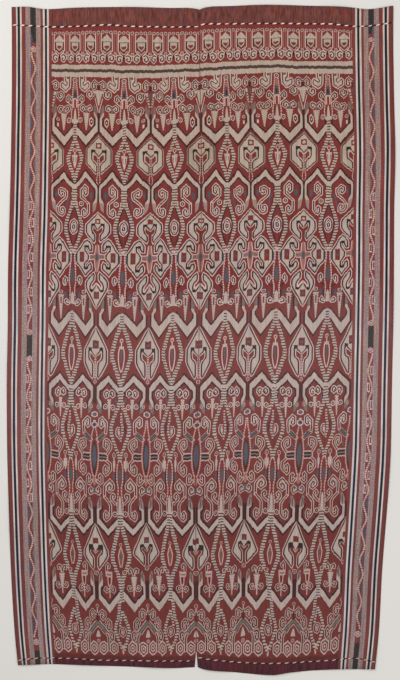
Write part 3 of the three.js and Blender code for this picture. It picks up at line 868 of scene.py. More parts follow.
MEDALLION_5_B = (
    ("blob", "0,524.6 2,529 5.6,537 8,542.6 10.4,548 12,552.4 11.6,554.6 7.6,559.4 4,563.6 2.9,564.8 "
             "2.5,563 2.6,556 3.4,553.6 5.2,551.4 5.9,548.6 5.8,545.6 4,544.8 1.8,547.4 0,550.6"),
    ("fill indigo", "2.6,544.6 6.2,544.6 6.2,547.6 4.8,547.8 3.6,547 1.8,549.4"),
    ("fill red", "0,552 3.4,548.8 4.3,549.2 4.3,550.8 1.5,553.4 1.1,555.6 1,570 0,570"),
    ("fill red", "0,537.6 2.5,537.6 2.5,543.4 0,543.4"),
    ("fill slate", "0,540.4 1.1,540.4 1.1,543.4 0,543.4"),
)

LOZENGE_5 = (
    ("ladder", 4.0, "24.2,516 23.6,524 22.4,530 20.8,536 19.4,542 18,547.6 16.8,553 16.6,557.6 18,563 "
                    "19.8,568 21.8,573 23.2,578 24.2,586 24.4,592 24.4,600"),
    ("line", 1.0, "25,546.4 23.8,550 22.6,555.4 23.2,561 24.4,566.6"),
    ("ring", 25, 544.2, 1.3, 2, ("line", "red", "pink")),
    ("fill pink", "25,548.6 24.5,551 24.1,555.6 24.6,561 25,562.6"),
    ("fill slate", "25,551.4 24.4,554 24.4,557.6 25,560.2"),
)

REGISTER_7_A = (
    ("ring", 0.4, 573, 2, 2.3),
    ("pipe", "10.5,573 10.4,566 11.8,564.2 13.3,565.8 12.7,568.4", 2.6),
    ("fill line", "9.2,571.6 16,571.6 15.9,577 15.3,584.4 13.6,587.4 11.6,585 10.9,577.4 9.4,576.4"),
    ("grey", 1.4, "10,574.8 15,574.8"),
    ("fill red", "12,577.2 14.6,577.2 14.2,583.6 13.2,585.6 12.2,583"),
    ("fill indigo", "12.7,578 13.7,578 13.5,583 12.9,583"),
    ("pipe", "12.6,588.8 11.8,590.6 9.8,591.8 8.2,590 8.6,587.8 10.2,587.4", 2.6),
    ("pipe", "13.8,588.8 15.2,591 17,591.8 18.2,589.8 17.6,587.4 15.8,586.4", 2.6),
    ("line", 1.0, "13.2,587 13.2,598"),
)

REGISTER_7_B = (
    ("ring", 0, 568.8, 2, 2.3),
    ("ring", 21.7, 572, 2.2, 2.4),
    ("pipe", "12.7,575.6 12.5,572.6 11.6,570 10.2,568.9 8.8,570.4 9.2,572.6 10.5,572.2", 2.6),
    ("pipe", "13.3,575.6 13.6,572.6 14.5,570 15.9,568.9 17.2,570.4 16.8,572.6 15.5,572.2", 2.6),
    ("steps", 9.8, 15.8, 577, 594),
    ("pipe", "10.8,589 9.8,590.8 8,591 6.8,589 7.6,587 9.2,587", 2.6),
    ("pipe", "14.2,588.4 15.4,590.6 17.2,590.6 18.4,588.8 17.8,586.6 16.4,586.8", 2.6),
    ("line", 1.2, "13,590 13,597"),
)

ARMS_7 = (
    ("shade", 2.4, "0.4,581 0.4,599.4"),
    ("shade", 1.6, "7.2,583 7,586.2 4.9,588.8 4.7,594.2 12.6,603.6 14.6,600.6 19,594 23.4,588.8"),
    ("fill cream", "6.2,577.4 6.4,585 4,587.4 3.8,594.4 12.6,604.8 15,602 19.6,595 24,590.2 25,590 "
                   "25,596.4 21.6,600.4 12.7,612.8 2.1,599 2.1,586 3.2,582"),
    ("fill beige", "5,571 6.3,574 6.4,578.4 4,583 2.4,583 2.6,576"),
    ("umber", 0.8, "4.8,573 3.9,581.6"),
    ("umber", 0.6, "6,574.6 5.6,578.6"),
)

REGISTER_8 = (
    ("ring", 0, 605.8, 1.5, 2.2, ("line", "umber", "pink")),
    ("line", 0.6, "0.3,608 0.3,613.4"),
    ("ladder", 3.0, "24.4,589 24.2,601"),
    # Grey arch with its hooks, on the medallion's axis
    ("pipe", "1.2,614.4 2.6,612.4 5,610.4 7.5,612.8 7.6,617.2 5.6,619.6 3.9,618 4,615.4 5.4,615", 2.6),
    ("pipe", "8.2,624 9,620.8 11,619.6 13.1,622.4 13.2,627.8 11,630 9.2,628 9.4,625.2 10.8,625", 2.6),
    ("pipe", "11.2,634.4 13.8,631.8 15.6,634.2 15.5,638.4 13.9,640.6 12.3,639 12.7,636.6", 2.6),
    ("line", 5.4, ARCH),
    ("grey", 3.2, ARCH),
    ("indigo", 0.8, "0,620.2 6.4,627.4 9.9,632.8"),
    ("indigo", 0.8, "0,624.6 4.6,630.2 7.2,634.4"),
    ("indigo", 1.2, "0,612.6 0,621"),
    ("pipe", "8.6,633.6 10.3,638 10.3,651", 2.6),
    ("fill cream", "0,629.4 0.9,631.2 2.3,635.8 2.2,637.2 0,637.2"),
    ("ring", 0.2, 640.8, 1.5, 1.9, ("line", "grey", "pink")),
    ("nest", 5, 648, 4.4, 7.6),
    ("nest", 15.6, 647.8, 4.4, 7.5),
    # Lozenge of ladders, and the ring in it
    ("steps", 22.5, 27.5, 645, 654, 1.8),
    ("pipe", "25,627.4 22.9,628.6 22.4,631.6 23.2,634.4 25,635.6", 2.6),
    ("fill line", "25,630 24.3,631 24.3,632.6 25,633.4"),
)

REGISTER_8_A = (
    ("ladder", 3.2, "22.6,601 21.9,610 20.8,617 18.2,624.6 17.7,629 19,634 20.8,640 22.8,644.6 24.2,648"),
    ("ladder", 2.2, "24.8,611 23.8,617 22.7,622 22.2,627"),
)

REGISTER_8_B = (
    ("ladder", 3.2, "24.8,610.6 22.4,616.6 20.6,622 18.5,629 19.2,634 21.3,640.6 22.9,645.4 24.2,648.6"),
)

# Figures of every half repeat, and those of the first kind of half repeat and of the second
IN_BOTH = (
    BAND, ARMS_1, REGISTER_1, MEDALLION_1, INSIDE_LADDER_1, ARMS_2, MEDALLION_2, LOZENGE_2,
    REGISTER_3, TULIP, REGISTER_3_CELL, ARMS_4, MEDALLION_3, LOZENGE_3, ARMS_5, REGISTER_5,
    REGISTER_6, ARMS_6, LOZENGE_5, ARMS_7, REGISTER_8,
)
IN_ONE = (
    (REGISTER_1_A, REGISTER_2_A, MEDALLION_2_A, SPIRALS_2_A, REGISTER_5_A, MEDALLION_5_A,
     REGISTER_7_A, REGISTER_8_A),
    (REGISTER_1_B, REGISTER_2_B, SPIRALS_2_B, REGISTER_5_B, MEDALLION_5_B, REGISTER_7_B,
     REGISTER_8_B),
)
# How far the figures between two axes lie below the chart's rows, where the repeats differ. The
# first kind of half repeat lies higher by as much as the second lies lower
UNEVEN = ((140, 0), (162, 0.8), (180, 0.9), (200, 0), (250, 0), (268, 1.1), (290, 1.1), (308, 0))
# Axes of the small figures near the head, and of the lines between them
HEAD_FIGURE_AXES = (-8.33, 8.33, 25)
HEAD_LINE_AXES = (0, 16.67)


def draw(chart, figures):
    """Draws a list of figures into the chart."""
    kinds = {"beads": chart.beads, "pipe": chart.piped, "blob": chart.blob, "ring": chart.ring,
             "nest": chart.nest, "steps": chart.steps, "ladder": chart.ladder}
    for kind, *sizes in figures:
        if kind.startswith("fill "):
            chart.fill(kind.removeprefix("fill "), *sizes)
        elif kind in kinds:
            kinds[kind](*sizes)
        else:
            chart.line(kind, *sizes)


def draw_half(chart, variant):
    """One half repeat of the first or the second kind, with the row of small figures over it."""
    first = len(chart.shapes)
    for middle in HEAD_FIGURE_AXES:
        for turn in (1, -1):
            chart.shift = (middle, 0, turn)
            draw(chart, HEAD_ROW_FIGURE)
    chart.shift = (0, 0, 1)
    for middle in HEAD_LINE_AXES:
        for side in (-1, 1):
            chart.line("pink", 0.7, [(middle + side, 35), (middle + side, 54)])
        chart.ring(middle, 33.3, 1.6, 1.9, ("line", "umber", "pink"))
        chart.ring(middle, 55, 1.6, 2.2, ("line", "umber", "line"))
    for figures in IN_BOTH + IN_ONE[variant]:
        draw(chart, figures)
    uneven = np.array(UNEVEN, float).T
    hand = 1 if variant else -1
    for number, (dye, outline) in enumerate(chart.shapes[first:]):
        if dye == "line" and outline[0][1] > FOOT_LINE_ROW:
            dye = "foot line"
        moved = []
        for a, row in outline:
            share = math.sin(math.pi * abs(a - chart.start) / HALF_REPEAT)
            moved.append((a, row + hand * share * float(np.interp(row, *uneven))))
        chart.shapes[first + number] = (dye, moved)


def striped():
    """The plain warp stripes of a border, in short lengths."""
    start = 0
    for dye, width in STRIPES:
        for row in range(HEAD_ROW, FOOT_ROW, STRIPE_STEP):
            yield dye, box(start, row, start + width, min(row + STRIPE_STEP, FOOT_ROW))
        start += width


def thread_middle(rows_down):
    """How far across the zigzag's thread lies, by the rows after the crest."""
    turns = np.interp(rows_down, ZIGZAG_TURNS, range(len(ZIGZAG_TURNS)))
    return sum(ZIGZAG_SIDES) / 2 + ZIGZAG_SWING * math.cos(math.tau * turns)


def border_shapes(crest_row):
    """The warp stripes along the outer selvedge, and the narrow ikat stripe between them."""
    shapes = list(striped())
    # Bare numbers from here on are rows, mostly those kept clear of the dark blocks
    outer, inner = ZIGZAG_SIDES
    head_block, block_top, block_foot, foot_block = (crest_row + rows for rows in BLOCK_ROWS)
    for top, foot in ((HEAD_ROW, head_block), (block_top, block_foot), (foot_block, FOOT_ROW)):
        shapes.append(("border dark", box(outer, top, inner, foot)))
    for turn, following in zip(ZIGZAG_TURNS, (*ZIGZAG_TURNS[1:], ZIGZAG_TURNS[-1])):
        boxed = BOXES_FROM < turn < BOXES_TO
        row, half_way = crest_row + turn, crest_row + (turn + following) / 2
        if abs(row - block_top - 10) > 20 and row < foot_block - 10:
            shapes += hollow(row, outer, 1, "" if boxed else "slate", OUTER_LENS)
        if abs(half_way - block_top - 10) > 30 and half_way < foot_block - 14:
            shapes += hollow(half_way, inner, -1, "" if boxed else "grey", INNER_LENS)
    for top, foot in ((crest_row - 15, block_top - 6), (block_foot + 6, foot_block - 12)):
        for row in np.arange(top, foot, THREAD_STEP):
            across, below = (thread_middle(at - crest_row) for at in (row, row + THREAD_STEP))
            shapes.append(("pink", [
                (across - THREAD_HALF, row), (across + THREAD_HALF, row),
                (below + THREAD_HALF, row + THREAD_STEP), (below - THREAD_HALF, row + THREAD_STEP),
            ]))
            shapes.append(("line", box(across - THREAD_HALF, row + 0.2, across + THREAD_HALF, row + 1.4)))
    for row in (crest_row - 18, block_top - 3, block_foot + 3, foot_block - 8):
        for dye, share in BORDER_MARK:
            shapes.append((dye, hexagon((outer + inner) / 2, row, 2.5 * share, 3 * share)))
    return shapes


def hollow(row, edge, hand, dye, lens):
    """What fills a hollow of the zigzag: a dark lens, or a small pale box round a red spot."""
    if dye:
        return [(dye, [(edge + hand * across, row + along) for across, along in lens])]
    reach = edge + hand * 2.5
    left, right = min(edge, reach), max(edge, reach)
    return [("line", box(left, row - 4.6, right, row + 4.4)),
            ("deep red", box(left + 0.5, row - 3.2, right - 0.8, row + 3)),
            ("umber", box(left + 0.5, row - 4.0, right - 1.4, row - 3.3))]


def panel_shapes(crest_row):
    """Every shape of a panel: its stripes, its plain ends and six half repeats, face to face."""
    chart = Chart()
    chart.shapes += border_shapes(crest_row)
    ends = (("head end", HEAD_ROW, HEAD_TWINING_ROW), ("foot end", FOOT_TWINING_ROW, FOOT_ROW))
    for dye, top, foot in ends:
        chart.shapes.append((dye, box(BORDER_BUNDLES, top, PANEL_BUNDLES, foot)))
    foot_red = box(BORDER_BUNDLES, FOOT_RED_ROW, PANEL_BUNDLES, FOOT_TWINING_ROW - TWINING_HALF)
    chart.shapes.append(("foot red", foot_red))
    for repeat in range(HALF_REPEATS):
        axis = (repeat + 1) // 2
        chart.hand = -1 if repeat % 2 else 1
        chart.start = BORDER_BUNDLES + 2 * HALF_REPEAT * axis
        draw_half(chart, variant=(axis + 1) % 2)
    return chart.shapes


def with_teeth(outline):
    """Adds a point wherever a nearly crosswise edge passes from one bundle to the next."""
    result = []
    for (a, row), (next_a, next_row) in zip(outline, outline[1:] + outline[:1]):
        result.append((a, row))
        if abs(next_a - a) < abs(next_row - row) * CROSSWISE:
            continue
        low, high = sorted((a, next_a))
        steps = range(math.ceil(low + TOOTH_MARGIN), math.floor(high - TOOTH_MARGIN) + 1)
        for k in steps if next_a > a else reversed(steps):
            share = (k - a) / (next_a - a)
            result.append((float(k), row + share * (next_row - row)))
    return result


def woven_noise(bundles, rows, bundle_cell, row_cell, size, seed):
    """Smooth random values over the pattern plane, one for each cell's corner."""
    rng = np.random.default_rng(seed)
    shape = int(PANEL_BUNDLES / bundle_cell) + 3, int(FOOT_ROW / row_cell) + 3
    table = rng.normal(0, size, shape)
    across, along = bundles / bundle_cell, rows / row_cell
    column, step = np.floor(across).astype(int), np.floor(along).astype(int)
    across, along = across - column, along - step
    along = along * along * (3 - 2 * along)
    near = (1 - along) * table[column, step] + along * table[column, step + 1]
    far = (1 - along) * table[column + 1, step] + along * table[column + 1, step + 1]
    return (1 - across) * near + across * far


def bundle_shift(bundles, rows, seed):
    """How far each tied bundle slipped along the warp, in rows. It makes the feathered edges."""
    slipped = sum(woven_noise(bundles, rows, across, along, size, seed + more)
                  for across, along, size, more in SLIPS)
    from_head = np.clip((rows - HEAD_ROW) / HEAD_STILL_ROWS, 0, 1)
    from_foot = np.clip((FOOT_ROW - rows) / FOOT_STILL_ROWS, 0, 1)
    return from_head * from_foot * slipped


def inside(outline, x, y):
    """Which places lie inside a closed outline."""
    result = np.zeros(len(x), bool)
    for (ax, ay), (bx, by) in zip(outline, outline[1:] + outline[:1]):
        if ay == by:
            continue
        crossed = (ay > y) != (by > y)
        result ^= crossed & (x < ax + (y - ay) * (bx - ax) / (by - ay))
    return result


def cut(places, edges, merged):
    """Triangles over the pattern plane that keep the given edges. Places nearer than a reach merge."""
    found, _, faces, _, _, _ = delaunay_2d_cdt([Vector(place) for place in places], edges, [], 0, merged)
    spots = np.array([(place.x, place.y) for place in found])
    return spots, np.array(faces)


def sides_of(triangles):
    return np.concatenate([triangles[:, [0, 1]], triangles[:, [1, 2]], triangles[:, [2, 0]]])


def turned(spots, triangles):
    """Twice the area of each triangle. It is below zero where the triangle runs clockwise."""
    a, b, c = (spots[triangles[:, k]] for k in range(3))
    return (b[:, 0] - a[:, 0]) * (c[:, 1] - a[:, 1]) - (c[:, 0] - a[:, 0]) * (b[:, 1] - a[:, 1])


def painted(spots, triangles, shapes):
    """The dye of each triangle, which is that of the topmost shape over its middle."""
    # Read a little to one side, as neither half of a figure covers the axis between them
    middles = spots[triangles].mean(1) + (BESIDE_AXIS, 0)
    order = np.argsort(middles[:, 1])
    middles = middles[order]
    names = list(DYES)
    dyes = np.full(len(triangles), names.index("red"))
    for dye, outline in shapes:
        left, right = min(p[0] for p in outline), max(p[0] for p in outline)
        top, foot = min(p[1] for p in outline), max(p[1] for p in outline)
        low, high = np.searchsorted(middles[:, 1], (top, foot))
        near = low + np.flatnonzero((middles[low:high, 0] > left) & (middles[low:high, 0] < right))
        dyes[near[inside(outline, middles[near, 0], middles[near, 1])]] = names.index(dye)
    return dyes[np.argsort(order)]


def shown_sides(triangles, dyes):
    """The sides of triangles that lie between two dyes."""
    sides = sides_of(triangles)
    sides.sort(axis=1)
    side_dyes = np.tile(dyes, 3)
    order = np.lexsort(sides.T)
    sides, side_dyes = sides[order], side_dyes[order]
    shared = (sides[1:] == sides[:-1]).all(1)
    return sides[1:][shared & (side_dyes[1:] != side_dyes[:-1])]


def triangulate(shapes, seed):
    """Cuts the pattern plane into triangles along the outlines of its dyes."""
    places, edges = [], []
    for _, outline in shapes:
        toothed = with_teeth(outline)
        first = len(places)
        places += toothed
        edges += [(first + k, first + (k + 1) % len(toothed)) for k in range(len(toothed))]
    grid = [(across, row)
            for row in np.linspace(HEAD_ROW, FOOT_ROW, round((FOOT_ROW - HEAD_ROW) / GRID_BUNDLES) + 1)
            for across in np.linspace(0, PANEL_BUNDLES, round(PANEL_BUNDLES / GRID_BUNDLES) + 1)]
    spots, triangles = cut(places + grid, edges, FIRST_MERGE)
    # The outlines that later shapes hide are dropped, and the plane is cut again along the others
    shown = shown_sides(triangles, painted(spots, triangles, shapes))
    corners, numbers = np.unique(straightened(spots, shown, seed), return_inverse=True)
    places = [tuple(spot) for spot in spots[corners]] + grid
    spots, triangles = cut(places, numbers.reshape(-1, 2).tolist(), SHOWN_MERGE)
    return spots, triangles, painted(spots, triangles, shapes)


def off_line(spots, a, b, corner):
    """How far a corner lies from the straight line through two others."""
    (ax, ay), (bx, by), (x, y) = spots[a], spots[b], spots[corner]
    return abs((bx - ax) * (y - ay) - (by - ay) * (x - ax)) / math.hypot(bx - ax, by - ay)


def straightened(spots, edges, seed):
    """The same edges without the corners that still lie on a straight line once the bundles slip."""
    slipped = np.stack([spots[:, 0], spots[:, 1] + bundle_shift(*spots.T, seed)], 1)
    near = {}
    for a, b in edges.tolist():
        near.setdefault(a, set()).add(b)
        near.setdefault(b, set()).add(a)
    for corner, ends in near.items():
        if len(ends) != 2:
            continue
        a, b = ends
        if b in near[a] or math.dist(spots[a], spots[b]) > STRAIGHT_LENGTH:
            continue
        if (off_line(spots, a, b, corner) < DYED_SLACK
                and off_line(slipped, a, b, corner) < SLIPPED_SLACK):
            near[corner] = set()
            near[a] = near[a] - {corner} | {b}
            near[b] = near[b] - {corner} | {a}
    return [(a, b) for a, ends in near.items() for b in ends if a < b]


def laid_out(panel, spots, triangles, seed):
    """The x and y of the pattern's places. Corners slip together where a triangle would turn over."""
    bundles, rows = spots.T
    slips = bundle_shift(bundles, rows, seed)
    for _ in range(UNFOLD_ROUNDS):
        placed = np.stack(panel.place(bundles, rows + slips), 1)
        areas = turned(placed, triangles)
        folded = triangles[areas * np.sign(areas.sum()) <= 0]
        if len(folded) == 0:
            break
        slips[folded] = slips[folded].mean(1)[:, None]
    return placed.T


def closed(triangles, count):
    """The triangles of a face, those of the back under it, and a rim that joins the two."""
    sides = sides_of(triangles)
    keys = sides[:, 0] * count + sides[:, 1]
    rim = sides[~np.isin(keys, sides[:, 1] * count + sides[:, 0])]
    return np.concatenate([
        triangles,
        triangles[:, ::-1] + count,
        np.stack([rim[:, 1], rim[:, 0], rim[:, 0] + count], 1),
        np.stack([rim[:, 1], rim[:, 0] + count, rim[:, 1] + count], 1),
    ])


def cloth_mesh(panel, material, seed):
    """The panel as a closed sheet: face and back with the same dyes, and a rim round them."""
    spots, triangles, dyes = triangulate(panel_shapes(panel.crest_row), seed)
    x, y = laid_out(panel, spots, triangles, seed)
    low = lift(x, y)
    face = np.stack([x, y, low + CLOTH_THICK], 1)
    back = np.stack([x, y, low], 1)
    if turned(face[:, :2], triangles).sum() < 0:
        triangles = triangles[:, ::-1]
    faces = closed(triangles, len(spots))
    mesh = bpy.data.meshes.new("cloth_" + panel.side)
    mesh.from_pydata(np.concatenate([face, back]) * MM, [], faces)
    flat_faces = 2 * len(triangles)
    colours = np.ones((len(faces), 4))
    colours[:flat_faces, :3] = np.array([linear(code) for code in DYES.values()])[np.tile(dyes, 2)]
    colours[flat_faces:, :3] = linear(DYES["border red"])
    mesh.attributes.new("dye", "FLOAT_COLOR", "FACE").data.foreach_set("color", colours.ravel())
    woven = np.tile(spots * BUNDLE * MM, (2, 1))
    mesh.uv_layers.new(name="warp_and_weft").data.foreach_set("uv", woven[faces.ravel()].ravel())
    mesh.polygons.foreach_set("use_smooth", np.arange(len(faces)) < flat_faces)
    mesh.materials.append(material)
    mesh.update()
    cloth = bpy.data.objects.new("cloth_" + panel.side, mesh)
    bpy.context.scene.collection.objects.link(cloth)
    return cloth


# Materials

def varied(tree, source, cell, low, high, detail=2.0, start=(0.3, 0.7)):
    """Noise in cells of a real size in millimetres, spread between two values."""
    scale = tuple(1 / (size * MM) for size in cell)
    cells = add(tree, "ShaderNodeMapping", {"Vector": source, "Scale": scale})
    noise = add(tree, "ShaderNodeTexNoise", {"Vector": cells.outputs["Vector"], "Scale": 1.0,
                                             "Detail": detail, "Roughness": 0.55})
    spread = add(tree, "ShaderNodeMapRange", {"Value": noise.outputs["Fac"], "From Min": start[0],
                                              "From Max": start[1], "To Min": low, "To Max": high})
    return spread.outputs["Result"]


def tone_along(tree, height, pale):
    """How light the dyed parts and the pale parts are, from the head of the cloth to its foot."""
    head, foot = ((PHOTO_ORIGIN[1] - TONE_ALONG[end][0]) * BUNDLE * MM for end in (0, -1))
    share = add(tree, "ShaderNodeMapRange", {"Value": height, "From Min": head, "From Max": foot})
    node = add(tree, "ShaderNodeValToRGB", {"Fac": share.outputs["Result"]})
    stops = node.color_ramp.elements
    for number, (row, dyed, undyed) in enumerate(TONE_ALONG):
        place = (row - TONE_ALONG[0][0]) / (TONE_ALONG[-1][0] - TONE_ALONG[0][0])
        stop = stops[number] if number < 2 else stops.new(place)
        stop.position = place
        stop.color = (dyed, undyed, 0, 1)
    split = add(tree, "ShaderNodeSeparateColor", {"Color": node.outputs["Color"]})
    part = add(tree, "ShaderNodeMix", {0: pale, 2: split.outputs["Red"], 3: split.outputs["Green"]})
    return add(tree, "ShaderNodeMath", {0: part.outputs[0], 1: TONE_GAIN},
               operation="MULTIPLY").outputs["Value"]


def looks(tree, readings):
    """Where each look of the cotton is, and how strong it is there."""
    found = {}
    for name, (reading, start, full, low, high) in LOOKS.items():
        value, unit = readings[reading]
        node = add(tree, "ShaderNodeMapRange", {
            "Value": value, "From Min": start * unit, "From Max": full * unit, "To Min": low, "To Max": high,
        }, interpolation_type="SMOOTHSTEP")
        found[name] = node.outputs["Result"]
    for name, first, operation, second in JOINED_LOOKS:
        node = add(tree, "ShaderNodeMath", {0: found[first], 1: found[second]}, operation=operation,
                   use_clamp=True)
        found[name] = node.outputs["Value"]
    return found


def streaked(tree, weave, tone, found):
    """How light the dyes are, with their streaks, which run along the warp."""
    for cell, low, high, detail, part in STREAKS:
        streak = varied(tree, weave, cell, low, high, detail)
        if part in found:
            streak = add(tree, "ShaderNodeMix", {0: found[part], 2: 1.0, 3: streak}).outputs[0]
        tone = add(tree, "ShaderNodeMath", {0: tone, 1: streak}, operation="MULTIPLY").outputs["Value"]
    return tone


def aged(tree, colour, weave, place, found):
    """The colour with its age on it: casts of old dye, wear and soil."""
    coats = []
    for reading, cell, strength, start, detail, part, tint in AGEING:
        share = varied(tree, weave if reading == "weave" else place, cell, 0, strength, detail, start)
        if part in found:
            share = add(tree, "ShaderNodeMath", {0: share, 1: found[part]},
                        operation="MULTIPLY").outputs["Value"]
        coats.append((share, "MULTIPLY", tint))
    coats += [(found[part], kind, tint) for part, kind, tint in CASTS]
    for x, y, reach, strength in SOIL_SPOTS:
        apart = add(tree, "ShaderNodeVectorMath", {0: place, 1: (x * MM, y * MM, 0)}, operation="DISTANCE")
        near = add(tree, "ShaderNodeMapRange", {
            "Value": apart.outputs["Value"], "From Min": reach * MM, "From Max": reach * MM * 0.4,
            "To Min": 0, "To Max": strength,
        }, interpolation_type="SMOOTHSTEP")
        coats.append((near.outputs["Result"], "MULTIPLY", MOST_SOILED))
    for share, kind, tint in coats:
        mix = add(tree, "ShaderNodeMix", {"Factor": share, 6: colour, 7: (*tint, 1)},
                  data_type="RGBA", blend_type=kind)
        colour = mix.outputs[2]
    return colour


def ikat_cotton():
    """Handspun warp-faced cotton. It is matt, ribbed along the warp by its yarns, and each bundle
    of yarns took the dyes a little differently, so the colours run in streaks along the warp."""
    material = bpy.data.materials.new("warp_ikat_cotton")
    material.use_nodes = True
    tree = material.node_tree
    shader = tree.nodes["Principled BSDF"]
    dye = add(tree, "ShaderNodeAttribute", attribute_name="dye").outputs["Color"]
    weave = add(tree, "ShaderNodeUVMap", uv_map="warp_and_weft").outputs["UV"]
    place = add(tree, "ShaderNodeTexCoord").outputs["Object"]
    height = add(tree, "ShaderNodeSeparateXYZ", {"Vector": place}).outputs["Y"]
    across, along, _ = add(tree, "ShaderNodeSeparateXYZ", {"Vector": weave}).outputs
    green = add(tree, "ShaderNodeSeparateColor", {"Color": dye}).outputs["Green"]
    found = looks(tree, {"across": (across, BUNDLE * MM), "along": (along, BUNDLE * MM),
                         "up": (height, MM), "green": (green, 1)})
    # The colour grows darker towards the foot, row by row, and is then streaked along the warp
    tone = streaked(tree, weave, tone_along(tree, height, found["pale"]), found)
    dyed = add(tree, "ShaderNodeVectorMath", {0: dye, "Scale": tone}, operation="SCALE")
    colour = aged(tree, dyed.outputs["Vector"], weave, place, found)
    tree.links.new(colour, shader.inputs["Base Color"])

    yarn_relief = varied(tree, weave, (YARN_PITCH, 25, 1), 0.0, 1.0, detail=1.0)
    pick_relief = varied(tree, weave, (8, 1.6, 1), 0.0, 1.0, detail=1.0)
    relief = add(tree, "ShaderNodeMath", {0: yarn_relief, 1: pick_relief}, operation="ADD")
    bump = add(tree, "ShaderNodeBump", {"Height": relief.outputs["Value"], "Strength": 0.35,
                                        "Distance": 0.3 * MM})
    tree.links.new(bump.outputs["Normal"], shader.inputs["Normal"])
    shader.inputs["Roughness"].default_value = 0.92
    shader.inputs["Specular IOR Level"].default_value = 0.25
    shader.inputs["Sheen Weight"].default_value = 0.06
    shader.inputs["Sheen Roughness"].default_value = 0.6
    return material


def yarn(name, colour):
    """Spun cotton yarn or sewing thread: matt, with fine slanting plies that catch the light."""
    material = bpy.data.materials.new(name)
    material.use_nodes = True
    tree = material.node_tree
    shader = tree.nodes["Principled BSDF"]
    place = add(tree, "ShaderNodeTexCoord").outputs["Object"]
    patches = varied(tree, place, (9, 9, 9), 0.82, 1.12)
    base = add(tree, "ShaderNodeVectorMath", {0: linear(colour), "Scale": patches}, operation="SCALE")
    tree.links.new(base.outputs["Vector"], shader.inputs["Base Color"])
    slant = add(tree, "ShaderNodeMapping", {"Vector": place, "Rotation": (0, 0, math.radians(35))})
    plies = add(tree, "ShaderNodeTexWave", {"Vector": slant.outputs["Vector"],
                                            "Scale": 1 / (20 * 0.9 * MM), "Distortion": 1.0})
    bump = add(tree, "ShaderNodeBump", {"Height": plies.outputs["Fac"], "Strength": 0.5,
                                        "Distance": 0.25 * MM})
    tree.links.new(bump.outputs["Normal"], shader.inputs["Normal"])
    shader.inputs["Roughness"].default_value = 0.9
    shader.inputs["Specular IOR Level"].default_value = 0.25
    return material


# What repeats along a line: the floats of the twining and the stitches of the seam

def new_tree(name, sizes, materials):
    """A geometry tree with a line to follow, and a named input for each size and material."""
    tree = bpy.data.node_groups.new(name, "GeometryNodeTree")
    tree.interface.new_socket("Line", in_out="INPUT", socket_type="NodeSocketGeometry")
    for size in sizes:
        tree.interface.new_socket(size, in_out="INPUT", socket_type="NodeSocketFloat")
    for material in materials:
        tree.interface.new_socket(material, in_out="INPUT", socket_type="NodeSocketMaterial")
    tree.interface.new_socket("Result", in_out="OUTPUT", socket_type="NodeSocketGeometry")
    return tree, tree.nodes.new("NodeGroupInput").outputs


def along_the_line(tree, given, unit, slant, seed, spread):
    """Puts one copy of a unit at each step along the line, turned to it and unevenly slanted."""
    curve = add(tree, "GeometryNodeMeshToCurve", {"Mesh": given["Line"]})
    steps = add(tree, "GeometryNodeCurveToPoints", {"Curve": curve.outputs["Curve"],
                                                    "Length": given["Pitch"]}, mode="LENGTH")
    turn = add(tree, "FunctionNodeAlignRotationToVector", {"Vector": steps.outputs["Tangent"]}, axis="X")
    uneven = add(tree, "FunctionNodeRandomValue", {2: slant - spread, 3: slant + spread, "Seed": seed})
    lean = add(tree, "ShaderNodeCombineXYZ", {"Z": uneven.outputs[1]})
    turned = add(tree, "FunctionNodeRotateRotation", {"Rotation": turn.outputs["Rotation"],
                                                      "Rotate By": lean.outputs["Vector"]},
                 rotation_space="LOCAL")
    size = add(tree, "FunctionNodeRandomValue", {2: UNEVEN_SIZE[0], 3: UNEVEN_SIZE[1], "Seed": seed + 1})
    copies = add(tree, "GeometryNodeInstanceOnPoints", {
        "Points": steps.outputs["Points"], "Instance": unit,
        "Rotation": turned.outputs["Rotation"], "Scale": size.outputs[1],
    })
    return copies.outputs["Instances"]


def twining_tree():
    """Pale and dark floats in turn, as two yarns lie when they are twined round the warp."""
    tree, given = new_tree("weft_twining", ("Pitch", "Length", "Width", "Height"), ("Pale", "Dark"))
    ball = add(tree, "GeometryNodeMeshUVSphere", {"Segments": 12, "Rings": 8, "Radius": 0.5})
    sizes = add(tree, "ShaderNodeCombineXYZ", {"X": given["Length"], "Y": given["Width"],
                                               "Z": given["Height"]})
    shaped = add(tree, "GeometryNodeTransform", {"Geometry": ball.outputs["Mesh"],
                                                 "Scale": sizes.outputs["Vector"]})
    soft = add(tree, "GeometryNodeSetShadeSmooth", {"Geometry": shaped.outputs["Geometry"]})
    copies = along_the_line(tree, given, soft.outputs["Geometry"], slant=0.16, seed=3, spread=0.08)
    number = add(tree, "GeometryNodeInputIndex").outputs["Index"]
    odd = add(tree, "ShaderNodeMath", {0: number, 1: 2.0}, operation="MODULO").outputs["Value"]
    marked = add(tree, "GeometryNodeStoreNamedAttribute", {"Geometry": copies, "Name": "dark float",
                                                           "Value": odd}, domain="INSTANCE")
    whole = add(tree, "GeometryNodeRealizeInstances", {"Geometry": marked.outputs["Geometry"]})
    pale = add(tree, "GeometryNodeSetMaterial", {"Geometry": whole.outputs["Geometry"],
                                                 "Material": given["Pale"]})
    mark = add(tree, "GeometryNodeInputNamedAttribute", {"Name": "dark float"}).outputs["Attribute"]
    is_dark = add(tree, "FunctionNodeCompare", {0: mark, 1: 0.5}).outputs["Result"]
    dark = add(tree, "GeometryNodeSetMaterial", {"Geometry": pale.outputs["Geometry"],
                                                 "Selection": is_dark, "Material": given["Dark"]})
    tree.links.new(dark.outputs["Geometry"], tree.nodes.new("NodeGroupOutput").inputs["Result"])
    return tree


